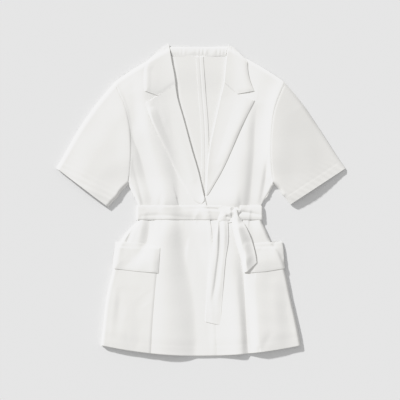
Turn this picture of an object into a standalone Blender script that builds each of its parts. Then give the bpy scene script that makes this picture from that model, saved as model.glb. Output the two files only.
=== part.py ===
"""A short-sleeve belted jacket, laid flat on its back with the front up.

Every piece of cloth is a wall laid between lengthwise lines: the edges and folds of its cut. The lower
layer rests on the ground plane z = 0, the belt and the collar's hidden stretch lie beneath it, and each
later piece is laid on the ones that carry it. Tables are in millimetres, +X to the wearer's left and +Y to
the collar.
"""

import math
from typing import NamedTuple

import bmesh
import bpy
import numpy as np
from mathutils import Vector
from mathutils.bvhtree import BVHTree

MM = 0.001
NAME = "short_sleeve_jacket"

# The cloth and how its layers lie
WALL = 1.5
GAP = 0.3
HEM_FOLD = 0.7
HEM_DEPTH = 24.0
RIM_ROLL = 15.0
RIM_LIFT = 1.2
LOFT = 2.4
BESIDE = 6.4
ALLOWANCE_WIDTH = 8.0
ALLOWANCE_THICKNESS = 1.0

# The belt, flat
BELT_WIDTH = 33.0
BELT_LEVEL = -30.0
WAIST_SQUEEZE = 0.55
WAIST_REACH = 26.0
WAIST_RIGHT = -147.5
WAIST_LEFT = 141.5
WRAP_UNDER = 9.0

# The hidden stretch of the collar, and the ramp beside what lies under the back
LEAF_BACK_LOW = 315.0
LEAF_BACK_HALF = 119.0
LEAF_BACK_MIDDLE = -8.0
STEP_RAMP = 14.0

ARM_STEPS = 8
BODY_ROWS = (
    36, 18, 2, -12, -30, -48, -62, -78, -96, -118, -142,
    -168, -196, -224, -252, -280, -302, -318, -320, -343,
)

# The hem drops from the side seams to the middle
HEM_DROP = 25.0
HEM_HALF = 235.0
DROP_START = -60.0


class ArmLevel(NamedTuple):
    """One level of the armholes, with the x of each one's seam."""

    y: float
    right: float
    left: float


class RollLevel(NamedTuple):
    """One level of the neck opening, with the x of each front's roll line."""

    y: float
    over: float
    under: float


class BodyLevel(NamedTuple):
    """One level below the arms, with the x of the side seams, the two front edges and the back seam."""

    y: float
    side_right: float
    edge_over: float
    edge_under: float
    side_left: float
    back_seam: float


class Station(NamedTuple):
    """One line across a sleeve: its ends at the outer and the under edge, and its bow to the body."""

    outer_x: float
    outer_y: float
    under_x: float
    under_y: float
    bow: float


class Spot(NamedTuple):
    """One point of an edge, seen from above."""

    x: float
    y: float


class Lobe(NamedTuple):
    """One swelling of the knot: its middle, how far it reaches and how high it stands."""

    x: float
    y: float
    reach_x: float
    reach_y: float
    rise: float


class Crease(NamedTuple):
    """A soft fold between two spots: its half width, and its height at each end (below 0 is a trough)."""

    top: Spot
    low: Spot
    reach: float
    rise_top: float
    rise_low: float


ARMHOLES = (
    ArmLevel(276, -204, 198),
    ArmLevel(245, -189, 184.5),
    ArmLevel(224, -180, 176.5),
    ArmLevel(189, -171, 168.5),
    ArmLevel(163, -166, 166),
    ArmLevel(118, -164.5, 164),
    ArmLevel(70, -167.5, 167),
    ArmLevel(36, -171, 172),
)

NECK_ROLL = (
    RollLevel(353, -74, 63),
    RollLevel(330, -69, 59),
    RollLevel(302, -64, 57),
    RollLevel(274, -59, 54),
    RollLevel(246, -56, 47),
    RollLevel(215, -48, 40),
    RollLevel(192, -41, 35),
    RollLevel(160, -33, 29),
    RollLevel(118, -21, 20),
    RollLevel(71, -7, 15),
    RollLevel(36, 1.5, 13),
)

BODY = (
    BodyLevel(36, -171, 1.5, 13, 172, 9),
    BodyLevel(10, -158, 8, 10, 157, 8),
    BodyLevel(-12, -148, 13, 5, 142.5, 7),
    BodyLevel(-30, -147.5, 17, -3, 141.5, 6),
    BodyLevel(-48, -149, 21, -11, 142.5, 5),
    BodyLevel(-71, -170, 25, -20, 153, 4),
    BodyLevel(-96, -189, 27, -27, 164, 3),
    BodyLevel(-130, -199, 29, -32, 184, 2),
    BodyLevel(-168, -208, 30, -35, 198, 1),
    BodyLevel(-224, -221, 32, -37, 210, 0),
    BodyLevel(-300, -230.5, 35, -38, 227, 0),
    BodyLevel(-343, -235, 36.5, -38, 235, 0),
)

BACK_SEAM_TOP = (Spot(-3.5, 339), Spot(2, 260), Spot(9, 165), Spot(9, 36))
NECK_POINT_RIGHT = Spot(-76, 352)
NECK_POINT_LEFT = Spot(65, 352)
NECK_CORNER_RIGHT = Spot(-71.5, 339)
NECK_CORNER_LEFT = Spot(61, 339)
SHOULDER_MIDDLE_RIGHT = Spot(-139, 319.5)
SHOULDER_MIDDLE_LEFT = Spot(130.5, 319.5)
SHOULDER_BOW = 5.5

SLEEVE_RIGHT = (
    Station(-243, 230, -186, 22, 21),
    Station(-280, 178, -195, 8, 10),
    Station(-331, 91, -211.5, -9, 3),
    Station(-340.6, 75.5, -218.6, -17.2, 0),
)
SLEEVE_LEFT = (
    Station(233.8, 233.6, 183, 27, 20),
    Station(274, 175, 192, 13, 10),
    Station(329.5, 90, 204, -1, 3),
    Station(340.6, 74.5, 211, -10.4, 0),
)

# The pieces that lie on the fronts, each as its lengthwise edges from the top down
LAPEL_RIGHT = (
    (
        Spot(-130, 228), Spot(-124, 208), Spot(-107, 165), Spot(-78, 109),
        Spot(-41, 34), Spot(-13, -3), Spot(1, -10),
    ),
    (
        Spot(-100, 245.5), Spot(-93, 208), Spot(-76, 160), Spot(-52, 105),
        Spot(-21, 34), Spot(-3, -1), Spot(4, -6),
    ),
    (
        Spot(-60, 272), Spot(-56, 246), Spot(-41, 192), Spot(-21, 118),
        Spot(-7, 71), Spot(1.5, 36), Spot(9, -1),
    ),
)
LAPEL_LEFT = (
    (
        Spot(54.5, 276), Spot(47, 246), Spot(35, 192), Spot(20, 118),
        Spot(15, 71), Spot(13.5, 36), Spot(12, 12),
    ),
    (
        Spot(86, 249.5), Spot(80, 205), Spot(62, 150), Spot(44, 105),
        Spot(30, 68), Spot(20, 33), Spot(14, 12),
    ),
    (
        Spot(126, 234), Spot(111, 205), Spot(90.5, 162), Spot(71, 116),
        Spot(50, 71), Spot(28, 32), Spot(16, 12),
    ),
)
COLLAR_LEAF_RIGHT = (
    (Spot(-127, 327), Spot(-131, 314), Spot(-133.5, 288), Spot(-132, 257)),
    (Spot(-92, 358), Spot(-95, 320), Spot(-98, 285), Spot(-100, 246.5)),
    (Spot(-75, 368), Spot(-69, 330), Spot(-62, 293), Spot(-59.5, 274)),
)
COLLAR_LEAF_LEFT = (
    (Spot(65, 365), Spot(59, 330), Spot(56, 298), Spot(54.5, 279)),
    (Spot(77, 359), Spot(80, 325), Spot(83, 290), Spot(85.5, 251)),
    (Spot(110, 329), Spot(110, 307), Spot(114, 286), Spot(125, 257)),
)
COLLAR_STAND = (
    (Spot(-73, 360), Spot(-30, 359.5), Spot(20, 360), Spot(63, 361.5)),
    (Spot(-69, 340), Spot(-30, 339.5), Spot(20, 339.5), Spot(59, 340)),
)
COLLAR_LEAF_BACK = (
    (Spot(-125, 325), Spot(-109, 340), Spot(-90, 356), Spot(-72, 359), Spot(0, 358), Spot(60, 359)),
    (Spot(-122, 316), Spot(-108, 315.5), Spot(-92, 315), Spot(-74, 315), Spot(0, 315), Spot(62, 315)),
)
COLLAR_LEAF_BACK_END = (
    (Spot(76, 355), Spot(93, 340), Spot(108, 326)),
    (Spot(78, 315), Spot(92, 315.5), Spot(105, 316)),
)
POCKET_RIGHT = (
    (Spot(-199, -112), Spot(-208, -168), Spot(-220.5, -224), Spot(-230, -300), Spot(-234.5, -342)),
    (Spot(-98, -112), Spot(-103, -164), Spot(-107, -204), Spot(-114, -284), Spot(-117.5, -342)),
)
POCKET_LEFT = (
    (Spot(104, -112), Spot(102, -164), Spot(103, -212), Spot(107, -290), Spot(111, -342)),
    (Spot(188, -112), Spot(197.5, -168), Spot(209.5, -224), Spot(226.5, -300), Spot(234.5, -342)),
)
FLAP_RIGHT = (
    (Spot(-200.5, -98), Spot(-203.5, -120), Spot(-206, -142), Spot(-207.5, -161)),
    (Spot(-150, -101), Spot(-151, -123), Spot(-151.5, -145), Spot(-152, -167.5)),
    (Spot(-96.5, -112), Spot(-97.5, -131), Spot(-99, -151), Spot(-100, -171.5)),
)
FLAP_LEFT = (
    (Spot(104, -104), Spot(103.5, -125), Spot(103, -148), Spot(102.5, -172)),
    (Spot(150, -100), Spot(151, -123), Spot(152, -146), Spot(153, -168)),
    (Spot(191, -97), Spot(194.5, -118), Spot(196, -140), Spot(197.5, -160.5)),
)
KNOT = (
    (Spot(42, -18), Spot(52, -15), Spot(64, -17), Spot(74, -17), Spot(84, -19), Spot(93, -24)),
    (Spot(40, -32), Spot(52, -34), Spot(64, -35), Spot(74, -34), Spot(84, -33), Spot(94.5, -33)),
    (Spot(39, -50), Spot(52, -55), Spot(62, -54), Spot(74, -52), Spot(84, -53), Spot(94, -51)),
)
KNOT_EDGE = 3.2
KNOT_LOBES = (Lobe(57, -36, 17, 21, 9.0), Lobe(84, -35, 13, 20, 8.0))
TAIL_LIFT = 3.2
TAIL_LEVEL = -84.0
TAIL_REACH = 28.0
TAIL_LONG = (
    (Spot(39, -57), Spot(28.5, -94), Spot(23, -132), Spot(17.5, -186), Spot(10.7, -287)),
    (Spot(44, -57), Spot(43.5, -100), Spot(39, -150), Spot(34, -208), Spot(28, -291)),
    (Spot(63.5, -57), Spot(64, -94), Spot(58, -137), Spot(52, -208), Spot(46, -295)),
)
TAIL_SHORT = (
    (Spot(70, -56), Spot(81, -97), Spot(94, -142), Spot(100.5, -171)),
    (Spot(86, -56), Spot(100, -98), Spot(108, -130), Spot(110, -170)),
    (Spot(104, -56), Spot(116, -83), Spot(125, -113), Spot(132, -147)),
)

CREASES = (
    Crease(Spot(-160, 177), Spot(-115, -8), 13, -0.3, -1.7),
    Crease(Spot(-136, 110), Spot(-92, -6), 17, 0.4, 1.3),
    Crease(Spot(-101, 177), Spot(-56, -8), 20, -0.4, -1.5),
    Crease(Spot(-59, -52), Spot(-19, -354), 27, -1.5, -0.9),
    Crease(Spot(-96, -54), Spot(-84, -350), 24, 1.1, 1.2),
    Crease(Spot(-130, -50), Spot(-136, -112), 13, -1.8, -0.3),
    Crease(Spot(125, 215), Spot(108, -8), 14, -0.8, -1.6),
    Crease(Spot(92, 150), Spot(84, -6), 16, 0.3, 1.2),
    Crease(Spot(155, 93), Spot(139, -4), 10, -0.5, -1.6),
    Crease(Spot(92, -172), Spot(98, -362), 12, -0.8, -1.5),
    Crease(Spot(6, -60), Spot(4, -360), 30, 0.5, 0.9),
    Crease(Spot(204, 255), Spot(278, 83), 18, -0.3, -1.0),
    Crease(Spot(-205, 235), Spot(-262, 60), 34, 0.2, 0.8),
)


class Panel(NamedTuple):
    """A piece of cloth seen from above: its edges and folds, and the strips between each two of them."""

    lines: tuple
    strips: tuple
    top_bow: float = 0.0
    has_hem: bool = False


def smooth_line(spots, fractions):
    """Points of the smooth curve through the spots, at these fractions of its length."""
    points = np.array(spots, dtype=float)
    lengths = np.concatenate(([0.0], np.cumsum(np.linalg.norm(np.diff(points, axis=0), axis=1))))
    slopes = np.gradient(points, lengths, axis=0, edge_order=2 if len(points) > 2 else 1)
    found = []
    for fraction in fractions:
        along = fraction * lengths[-1]
        first = min(max(int(np.searchsorted(lengths, along)) - 1, 0), len(points) - 2)
        span = lengths[first + 1] - lengths[first]
        t = (along - lengths[first]) / span
        found.append(
            (2 * t**3 - 3 * t**2 + 1) * points[first]
            + (t**3 - 2 * t**2 + t) * span * slopes[first]
            + (3 * t**2 - 2 * t**3) * points[first + 1]
            + (t**3 - t**2) * span * slopes[first + 1]
        )
    return np.array(found)


def even(steps):
    """Fractions from 0 to 1 in equal steps."""
    return [step / steps for step in range(steps + 1)]


def column(table, field):
    """One edge of a table of levels, as spots."""
    return [Spot(getattr(level, field), level.y) for level in table]


def body_line(field):
    """An edge below the arms, at the body's rows."""
    levels = [level.y for level in BODY]
    places = [getattr(level, field) for level in BODY]
    x = np.interp([-y for y in BODY_ROWS], [-y for y in levels], places)
    return np.stack((x, np.array(BODY_ROWS, dtype=float)), axis=1)


def long_line(upper, field):
    """An edge from its spots beside the arms on down to the hem."""
    return np.vstack((smooth_line(upper, even(ARM_STEPS)), body_line(field)[1:]))


def moved_sideways(points, distance):
    """The line moved to its left by a distance, in the plane."""
    along = np.gradient(points, axis=0)
    across = np.stack((-along[:, 1], along[:, 0]), axis=1)
    return points + distance * across / np.linalg.norm(across, axis=1)[:, None]


def lines_through(edges, steps):
    """The edges of a small piece, each at the same number of rows."""
    return tuple(smooth_line(edge, even(steps)) for edge in edges)


def sleeve_lines(armhole, stations, outward):
    """The lines across a sleeve, from its head at the armhole to the cuff."""
    lines = [moved_sideways(armhole, outward * GAP)]
    fractions = even(ARM_STEPS)
    for station in stations:
        outer = np.array((station.outer_x, station.outer_y))
        under = np.array((station.under_x, station.under_y))
        chord = under - outer
        to_body = np.array((-chord[1], chord[0])) / np.linalg.norm(chord)
        if to_body[0] * outward > 0:
            to_body = -to_body
        rows = [outer + t * chord + station.bow * 4 * t * (1 - t) * to_body for t in fractions]
        lines.append(np.array(rows))
    return tuple(lines)


ARM_RIGHT = smooth_line(column(ARMHOLES, "right"), even(ARM_STEPS))
ARM_LEFT = smooth_line(column(ARMHOLES, "left"), even(ARM_STEPS))
SIDE_RIGHT = long_line(column(ARMHOLES, "right"), "side_right")
SIDE_LEFT = long_line(column(ARMHOLES, "left"), "side_left")
EDGE_OVER = long_line(column(NECK_ROLL, "over"), "edge_over")
EDGE_UNDER = long_line(column(NECK_ROLL, "under"), "edge_under")
SEAM_LINE = long_line(BACK_SEAM_TOP, "back_seam")


def back_fold(top, side, share):
    """A line from the neck down a back half, lying this share of the way from the seam to the side."""
    body = SEAM_LINE[ARM_STEPS:] + share * (side[ARM_STEPS:] - SEAM_LINE[ARM_STEPS:])
    return np.vstack((smooth_line((top, body[0]), even(ARM_STEPS)), body[1:]))


FRONT_RIGHT = Panel((SIDE_RIGHT, EDGE_OVER), (15,), SHOULDER_BOW, True)
FRONT_LEFT = Panel((EDGE_UNDER, SIDE_LEFT), (15,), SHOULDER_BOW, True)
FOLDS_RIGHT = (
    back_fold(SHOULDER_MIDDLE_RIGHT, SIDE_RIGHT, 0.8),
    back_fold(NECK_POINT_RIGHT, SIDE_RIGHT, 0.55),
    back_fold(NECK_CORNER_RIGHT, SIDE_RIGHT, 0.42),
)
FOLDS_LEFT = (
    back_fold(NECK_CORNER_LEFT, SIDE_LEFT, 0.42),
    back_fold(NECK_POINT_LEFT, SIDE_LEFT, 0.55),
    back_fold(SHOULDER_MIDDLE_LEFT, SIDE_LEFT, 0.8),
)
SEAM_RIGHT = moved_sideways(SEAM_LINE, -GAP / 2)
SEAM_LEFT = moved_sideways(SEAM_LINE, GAP / 2)
ALLOWANCE_RIGHT = SEAM_RIGHT - np.array((ALLOWANCE_WIDTH, 0))
ALLOWANCE_LEFT = SEAM_LEFT + np.array((ALLOWANCE_WIDTH, 0))
BACK_RIGHT = Panel((SIDE_RIGHT, *FOLDS_RIGHT, ALLOWANCE_RIGHT, SEAM_RIGHT), (2, 2, 1, 2, 1), 0, True)
BACK_LEFT = Panel((SEAM_LEFT, ALLOWANCE_LEFT, *FOLDS_LEFT, SIDE_LEFT), (1, 2, 1, 2, 2), 0, True)
ARM_SLEEVE_RIGHT = Panel(sleeve_lines(ARM_RIGHT, SLEEVE_RIGHT, -1), (2, 2, 3, 1))
ARM_SLEEVE_LEFT = Panel(sleeve_lines(ARM_LEFT, SLEEVE_LEFT, 1), (2, 2, 3, 1))


def plan_grid(panel):
    """The panel's points from above, as rows of columns."""
    rows = len(panel.lines[0])
    across = []
    for left, right, count in zip(panel.lines, panel.lines[1:], panel.strips):
        across += [left + (right - left) * step / count for step in range(count)]
    across.append(panel.lines[-1])
    grid = np.stack(across, axis=1)
    u = np.linspace(0, 1, grid.shape[1])[None, :]
    v = np.linspace(0, 1, rows)[:, None]
    grid[:, :, 1] += panel.top_bow * 4 * u * (1 - u) * (1 - v) ** 3
    return dropped(grid) if panel.has_hem else grid


def dropped(grid):
    """The grid with its lower part let down towards the middle, as the hem is."""
    share = np.clip((grid[:, :, 1] - DROP_START) / (BODY[-1].y - DROP_START), 0, None)
    grid[:, :, 1] -= HEM_DROP * share * (1 - (grid[:, :, 0] / HEM_HALF) ** 2)
    return grid


def rim_segments():
    """The edges where front and back meet, as pairs of ends: over each shoulder and arm, down each side."""
    right_shoulder = plan_grid(FRONT_RIGHT)[0]
    left_shoulder = plan_grid(FRONT_LEFT)[0]
    right_outer = [Spot(s.outer_x, s.outer_y) for s in SLEEVE_RIGHT]
    left_outer = [Spot(s.outer_x, s.outer_y) for s in SLEEVE_LEFT]
    right_under = [Spot(s.under_x, s.under_y) for s in SLEEVE_RIGHT]
    left_under = [Spot(s.under_x, s.under_y) for s in SLEEVE_LEFT]
    chains = (
        np.vstack((right_shoulder[::-1], right_outer)),
        np.vstack((left_shoulder, left_outer)),
        np.vstack((right_under[::-1], SIDE_RIGHT[ARM_STEPS:])),
        np.vstack((left_under[::-1], SIDE_LEFT[ARM_STEPS:])),
    )
    starts = np.vstack([chain[:-1] for chain in chains])
    ends = np.vstack([chain[1:] for chain in chains])
    return starts, ends


RIM_STARTS, RIM_ENDS = rim_segments()


def rim_distance(x, y):
    """How far a spot lies from the nearest rim."""
    along = RIM_ENDS - RIM_STARTS
    offset = np.array((x, y)) - RIM_STARTS
    t = np.clip((offset * along).sum(axis=1) / (along**2).sum(axis=1), 0, 1)
    return float(np.linalg.norm(offset - t[:, None] * along, axis=1).min())


def smooth_step(value):
    """0 below 0, 1 above 1, and an even rise between."""
    t = min(max(value, 0.0), 1.0)
    return t * t * (3 - 2 * t)


def over_hidden_pieces(x, y):
    """How far the lower layer is lifted by the belt and by the collar leaf beneath it."""
    off_belt = abs(y - BELT_LEVEL) - BELT_WIDTH / 2 - 1
    over_belt = 1 - smooth_step(off_belt / STEP_RAMP)
    off_leaf = max(LEAF_BACK_LOW - y, abs(x - LEAF_BACK_MIDDLE) - LEAF_BACK_HALF)
    over_leaf = 1 - smooth_step(off_leaf / STEP_RAMP)
    return (WALL + GAP) * max(over_belt, over_leaf)


def lower_height(x, y):
    """Underside of the back and of the sleeves' under halves: flat, lifted a little towards the rims."""
    from_rim = min(rim_distance(x, y) / RIM_ROLL, 1.0)
    return over_hidden_pieces(x, y) + RIM_LIFT * (1 - from_rim) ** 2


def crease_height(x, y):
    """The sum of the soft folds at a spot."""
    total = 0.0
    for crease in CREASES:
        along = Vector((crease.low.x - crease.top.x, crease.low.y - crease.top.y))
        offset = Vector((x - crease.top.x, y - crease.top.y))
        t = offset.dot(along) / along.length_squared
        inside = smooth_step((t + 0.08) / 0.16) * smooth_step((1.08 - t) / 0.16)
        nearest = min(max(t, 0.0), 1.0)
        beside = (offset - nearest * along).length
        rise = crease.rise_top + (crease.rise_low - crease.rise_top) * nearest
        total += rise * inside * math.exp(-((beside / crease.reach) ** 2))
    return total


def upper_height(x, y):
    """Underside of the fronts and of the sleeves' upper halves."""
    from_rim = 1 - (1 - min(rim_distance(x, y) / RIM_ROLL, 1.0)) ** 2
    squeeze = 1 - WAIST_SQUEEZE * math.exp(-(((y - BELT_LEVEL) / WAIST_REACH) ** 2))
    folds = crease_height(x, y)
    inner = LOFT * squeeze + max(folds, 0.35 - LOFT * squeeze)
    return lower_height(x, y) + WALL + GAP + from_rim * inner


def under_front_height(x, y):
    """Underside of the left front, which dips where the right front laps over it."""
    covered = smooth_step((EDGE_OVER[-1][0] + 14 - x) / 30) * smooth_step((50 - y) / 40)
    full = upper_height(x, y)
    low = lower_height(x, y) + WALL + GAP
    return full + (low - full) * covered


def over_front_height(x, y):
    """Underside of the right front."""
    over_left_front = smooth_step((x + 62) / 24) * smooth_step((70 - y) / 40)
    return max(upper_height(x, y), lower_height(x, y) + WALL + GAP + over_left_front * (WALL + GAP))


def plain_wall(x, y):
    """The cloth's thickness away from hems."""
    return WALL


def back_wall(x, y):
    """The back, with its seam allowances pressed open on the inside."""
    seam_x = float(np.interp(-y, -SEAM_LINE[:, 1], SEAM_LINE[:, 0]))
    on_allowance = abs(x - seam_x) < ALLOWANCE_WIDTH * 0.7
    return WALL + (ALLOWANCE_THICKNESS if on_allowance else 0.0)


def flat_ground(x, y):
    """Pieces that lie on the ground."""
    return 0.0


def stand_height(x, y):
    """Underside of the collar stand's inside, over the hidden leaf."""
    return WALL + GAP


def knot_wall(x, y):
    """Thickness of the knot: its lobes, parted by the groove beside the band that crosses it."""
    height = KNOT_EDGE
    for lobe in KNOT_LOBES:
        away = ((x - lobe.x) / lobe.reach_x) ** 2 + ((y - lobe.y) / lobe.reach_y) ** 2
        height += lobe.rise * math.exp(-away)
    return height


def tail_lift(x, y):
    """How far a tail's end stands off the front where it leaves the knot."""
    return TAIL_LIFT * smooth_step((y - TAIL_LEVEL) / TAIL_REACH)


class Pile:
    """The pieces laid so far, which later pieces are laid on."""

    def __init__(self):
        self.trees = {}

    def add(self, name, bm):
        """Keeps the finished shape of a piece."""
        self.trees[name] = BVHTree.FromBMesh(bm)

    def top(self, names, x, y):
        """Height of the named pieces at a spot, or None beside them."""
        heights = []
        for name in names:
            hit = self.trees[name].ray_cast(Vector((x * MM, y * MM, 1.0)), Vector((0, 0, -1)))[0]
            if hit is not None:
                heights.append(hit.z / MM)
        return max(heights) if heights else None


PILE = Pile()
FINENESS = 8
SAMPLES = [
    (a / FINENESS, b / FINENESS, (FINENESS - a - b) / FINENESS)
    for a in range(FINENESS + 1)
    for b in range(FINENESS + 1 - a)
]
SETTLE_ROUNDS = 14


def settle(bm, carriers):
    """Lifts a piece until it clears the ones that carry it by the gap, all over."""
    bm.verts.ensure_lookup_table()
    faces = [[vert for vert in face.verts] for face in bm.faces]
    spots = []
    for verts in faces:
        for weights in SAMPLES:
            x = sum(w * v.co.x for w, v in zip(weights, verts)) / MM
            y = sum(w * v.co.y for w, v in zip(weights, verts)) / MM
            top = PILE.top(carriers, x, y)
            if top is not None:
                spots.append((verts, weights, top + GAP * 1.2))
    for _ in range(SETTLE_ROUNDS):
        worst = 0.0
        for verts, weights, floor in spots:
            height = sum(w * v.co.z for w, v in zip(weights, verts)) / MM
            short = floor - height
            worst = max(worst, short)
            if short > 0:
                share = sum(w * w for w in weights)
                for w, v in zip(weights, verts):
                    v.co.z += short * w / share * MM
        if worst < 0.01:
            break


def cloth_material(name, colour, roughness):
    """A plain woven finish."""
    material = bpy.data.materials.new(name)
    material.use_nodes = True
    shader = material.node_tree.nodes["Principled BSDF"]
    shader.inputs["Base Color"].default_value = (*colour, 1.0)
    shader.inputs["Roughness"].default_value = roughness
    shader.inputs["Metallic"].default_value = 0.0
    return material


def grid_mesh(grid):
    """A sheet through the grid's points, at height 0, with its triangles pointing up."""
    rows, columns = grid.shape[:2]
    bm = bmesh.new()
    bmesh.ops.create_grid(bm, x_segments=columns - 1, y_segments=rows - 1, size=1.0)
    for vert in bm.verts:
        column_index = round((vert.co.x + 1) / 2 * (columns - 1))
        row_index = round((1 - vert.co.y) / 2 * (rows - 1))
        x, y = grid[row_index, column_index]
        vert.co = Vector((x * MM, y * MM, 0.0))
    bmesh.ops.recalc_face_normals(bm, faces=bm.faces)
    bmesh.ops.triangulate(bm, faces=bm.faces, quad_method="SHORT_EDGE")
    return bm


def thicken(bm, wall):
    """Makes the sheet a wall that stands on it."""
    lifted = bmesh.ops.extrude_face_region(bm, geom=bm.faces[:])["geom"]
    for vert in (item for item in lifted if isinstance(item, bmesh.types.BMVert)):
        vert.co.z += wall(vert.co.x / MM, vert.co.y / MM) * MM
    bmesh.ops.recalc_face_normals(bm, faces=bm.faces)


def finish_object(name, bm, collection, parent):
    """Puts a finished shape in the scene under its own name and finish."""
    PILE.add(name, bm)
    mesh = bpy.data.meshes.new(name)
    bm.to_mesh(mesh)
    bm.free()
    mesh.shade_smooth()
    mesh.set_sharp_from_angle(angle=math.radians(40))
    mesh.materials.append(cloth_material(f"{name}_cloth", (0.84, 0.83, 0.80), 0.85))
    obj = bpy.data.objects.new(name, mesh)
    obj.parent = parent
    collection.objects.link(obj)


def laid_piece(name, panel, height, place, wall=plain_wall, carriers=(), lift=None):
    """A piece at a known height, lifted where it would touch what carries it."""
    bm = grid_mesh(plan_grid(panel))
    for vert in bm.verts:
        x, y = vert.co.x / MM, vert.co.y / MM
        low = height(x, y)
        if lift is not None:
            low += lift(x, y)
        vert.co.z = low * MM
    if carriers:
        settle(bm, carriers)
    thicken(bm, wall)
    finish_object(name, bm, *place)


def carried_height(carriers, beside):
    """A height function: the top of the carriers plus the gap, or a plain height beside them."""

    def height(x, y):
        top = PILE.top(carriers, x, y)
        return beside if top is None else top + GAP

    return height


def hemmed_wall(x, y):
    """The cloth's thickness, with the folded hem at the foot."""
    hem_line = BODY[-1].y - HEM_DROP * (1 - (x / HEM_HALF) ** 2)
    return WALL + (HEM_FOLD if y < hem_line + HEM_DEPTH else 0.0)


def cuff_wall(stations):
    """A sleeve's wall, with a folded hem outside its last line but one."""
    inner = stations[-2]
    start = np.array((inner.outer_x, inner.outer_y))
    end = np.array((inner.under_x, inner.under_y))
    chord = end - start
    away = np.array((-chord[1], chord[0]))
    cuff = np.array((stations[-1].outer_x, stations[-1].outer_y))
    if (cuff - start).dot(away) < 0:
        away = -away
    away = away / np.linalg.norm(away)

    def wall(x, y):
        beyond = (np.array((x, y)) - start).dot(away)
        return WALL + (HEM_FOLD if beyond > -inner.bow - GAP else 0.0)

    return wall


def belt_profile(side, start_x, carriers):
    """Inner line of a belt stretch, from the knot along the front and round the side to the underside."""
    waist = WAIST_RIGHT if side < 0 else WAIST_LEFT
    steps = 18 if side < 0 else 6
    band = [BELT_LEVEL + BELT_WIDTH * (step / 8 - 0.5) for step in range(9)]
    points = []
    for step in range(steps + 1):
        x = start_x + (waist - start_x) * step / steps
        window = [x - 4, x, x + 4]
        tops = [PILE.top(carriers, reach, y) for reach in window for y in band]
        points.append([x, max(top for top in tops if top is not None) + GAP + 0.25])
    radius = (points[-1][1] - WALL) / 2
    turn_x = waist + side * (GAP + 0.4)
    for angle in np.linspace(90, -90, 7):
        bulge = math.cos(math.radians(angle))
        rise = math.sin(math.radians(angle))
        points.append([turn_x + side * radius * bulge, WALL + radius + radius * rise])
    points.append([waist - side * WRAP_UNDER, WALL])
    return points


def belt_stretch(name, side, start_x, carriers, place):
    """One stretch of the belt that shows, wrapped round the garment's side."""
    points = belt_profile(side, start_x, carriers)
    bm = bmesh.new()
    bmesh.ops.create_grid(bm, x_segments=len(points) - 1, y_segments=3, size=1.0)
    for vert in bm.verts:
        x, z = points[round((vert.co.x + 1) / 2 * (len(points) - 1))]
        vert.co = Vector((x, BELT_LEVEL + vert.co.y * BELT_WIDTH / 2, z)) * MM
    bmesh.ops.recalc_face_normals(bm, faces=bm.faces)
    if max(bm.verts, key=lambda v: v.co.z).normal.z < 0:
        bmesh.ops.reverse_faces(bm, faces=bm.faces)
    bmesh.ops.solidify(bm, geom=bm.faces[:], thickness=-WALL * MM)
    bmesh.ops.recalc_face_normals(bm, faces=bm.faces)
    finish_object(name, bm, *place)


def build_lower_layer(place):
    """What lies on the ground: the hidden belt and collar, the back and the sleeves' under halves."""
    belt_ends = (WAIST_RIGHT + WRAP_UNDER + GAP, WAIST_LEFT - WRAP_UNDER - GAP)
    halves = (BELT_WIDTH / 2, -BELT_WIDTH / 2)
    belt_edges = [[Spot(x, BELT_LEVEL + half) for x in np.linspace(*belt_ends, 3)] for half in halves]
    laid_piece("belt_back", Panel(lines_through(belt_edges, 16), (2,)), flat_ground, place)
    leaf_back = [left + right for left, right in zip(COLLAR_LEAF_BACK, COLLAR_LEAF_BACK_END)]
    laid_piece("collar_leaf_back", Panel(lines_through(leaf_back, 20), (2,)), flat_ground, place)
    hidden = ("belt_back", "collar_leaf_back")
    laid_piece("back_right", BACK_RIGHT, lower_height, place, back_wall, hidden)
    laid_piece("back_left", BACK_LEFT, lower_height, place, back_wall, hidden)
    laid_piece("sleeve_right_under", ARM_SLEEVE_RIGHT, lower_height, place)
    laid_piece("sleeve_left_under", ARM_SLEEVE_LEFT, lower_height, place)
    stand = Panel(lines_through(COLLAR_STAND, 10), (2,))
    laid_piece("collar_stand", stand, stand_height, place, plain_wall, ("collar_leaf_back",))


def build_upper_layer(place):
    """The fronts, the right one over the left, and the sleeves' upper halves."""
    backs = ("back_right", "back_left")
    laid_piece("front_left", FRONT_LEFT, under_front_height, place, hemmed_wall, backs)
    laid_piece("front_right", FRONT_RIGHT, over_front_height, place, hemmed_wall, (*backs, "front_left"))
    for side, sleeve, stations in (
        ("right", ARM_SLEEVE_RIGHT, SLEEVE_RIGHT),
        ("left", ARM_SLEEVE_LEFT, SLEEVE_LEFT),
    ):
        wall, under = cuff_wall(stations), (f"sleeve_{side}_under",)
        laid_piece(f"sleeve_{side}_upper", sleeve, upper_height, place, wall, under)


def build_collar(place):
    """The turned lapels and the collar leaves."""
    fronts = ("front_right", "front_left")
    under_leaf = (*fronts, "back_right", "back_left", "collar_stand")
    on_fronts = carried_height(fronts, BESIDE)
    for side, lapel, leaf in (
        ("right", LAPEL_RIGHT, COLLAR_LEAF_RIGHT),
        ("left", LAPEL_LEFT, COLLAR_LEAF_LEFT),
    ):
        lapel_panel = Panel(lines_through(lapel, 16), (3, 3))
        laid_piece(f"lapel_{side}", lapel_panel, on_fronts, place, plain_wall, fronts)
        leaf_panel = Panel(lines_through(leaf, 7), (3, 2))
        laid_piece(f"collar_leaf_{side}", leaf_panel, on_fronts, place, plain_wall, under_leaf)


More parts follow.
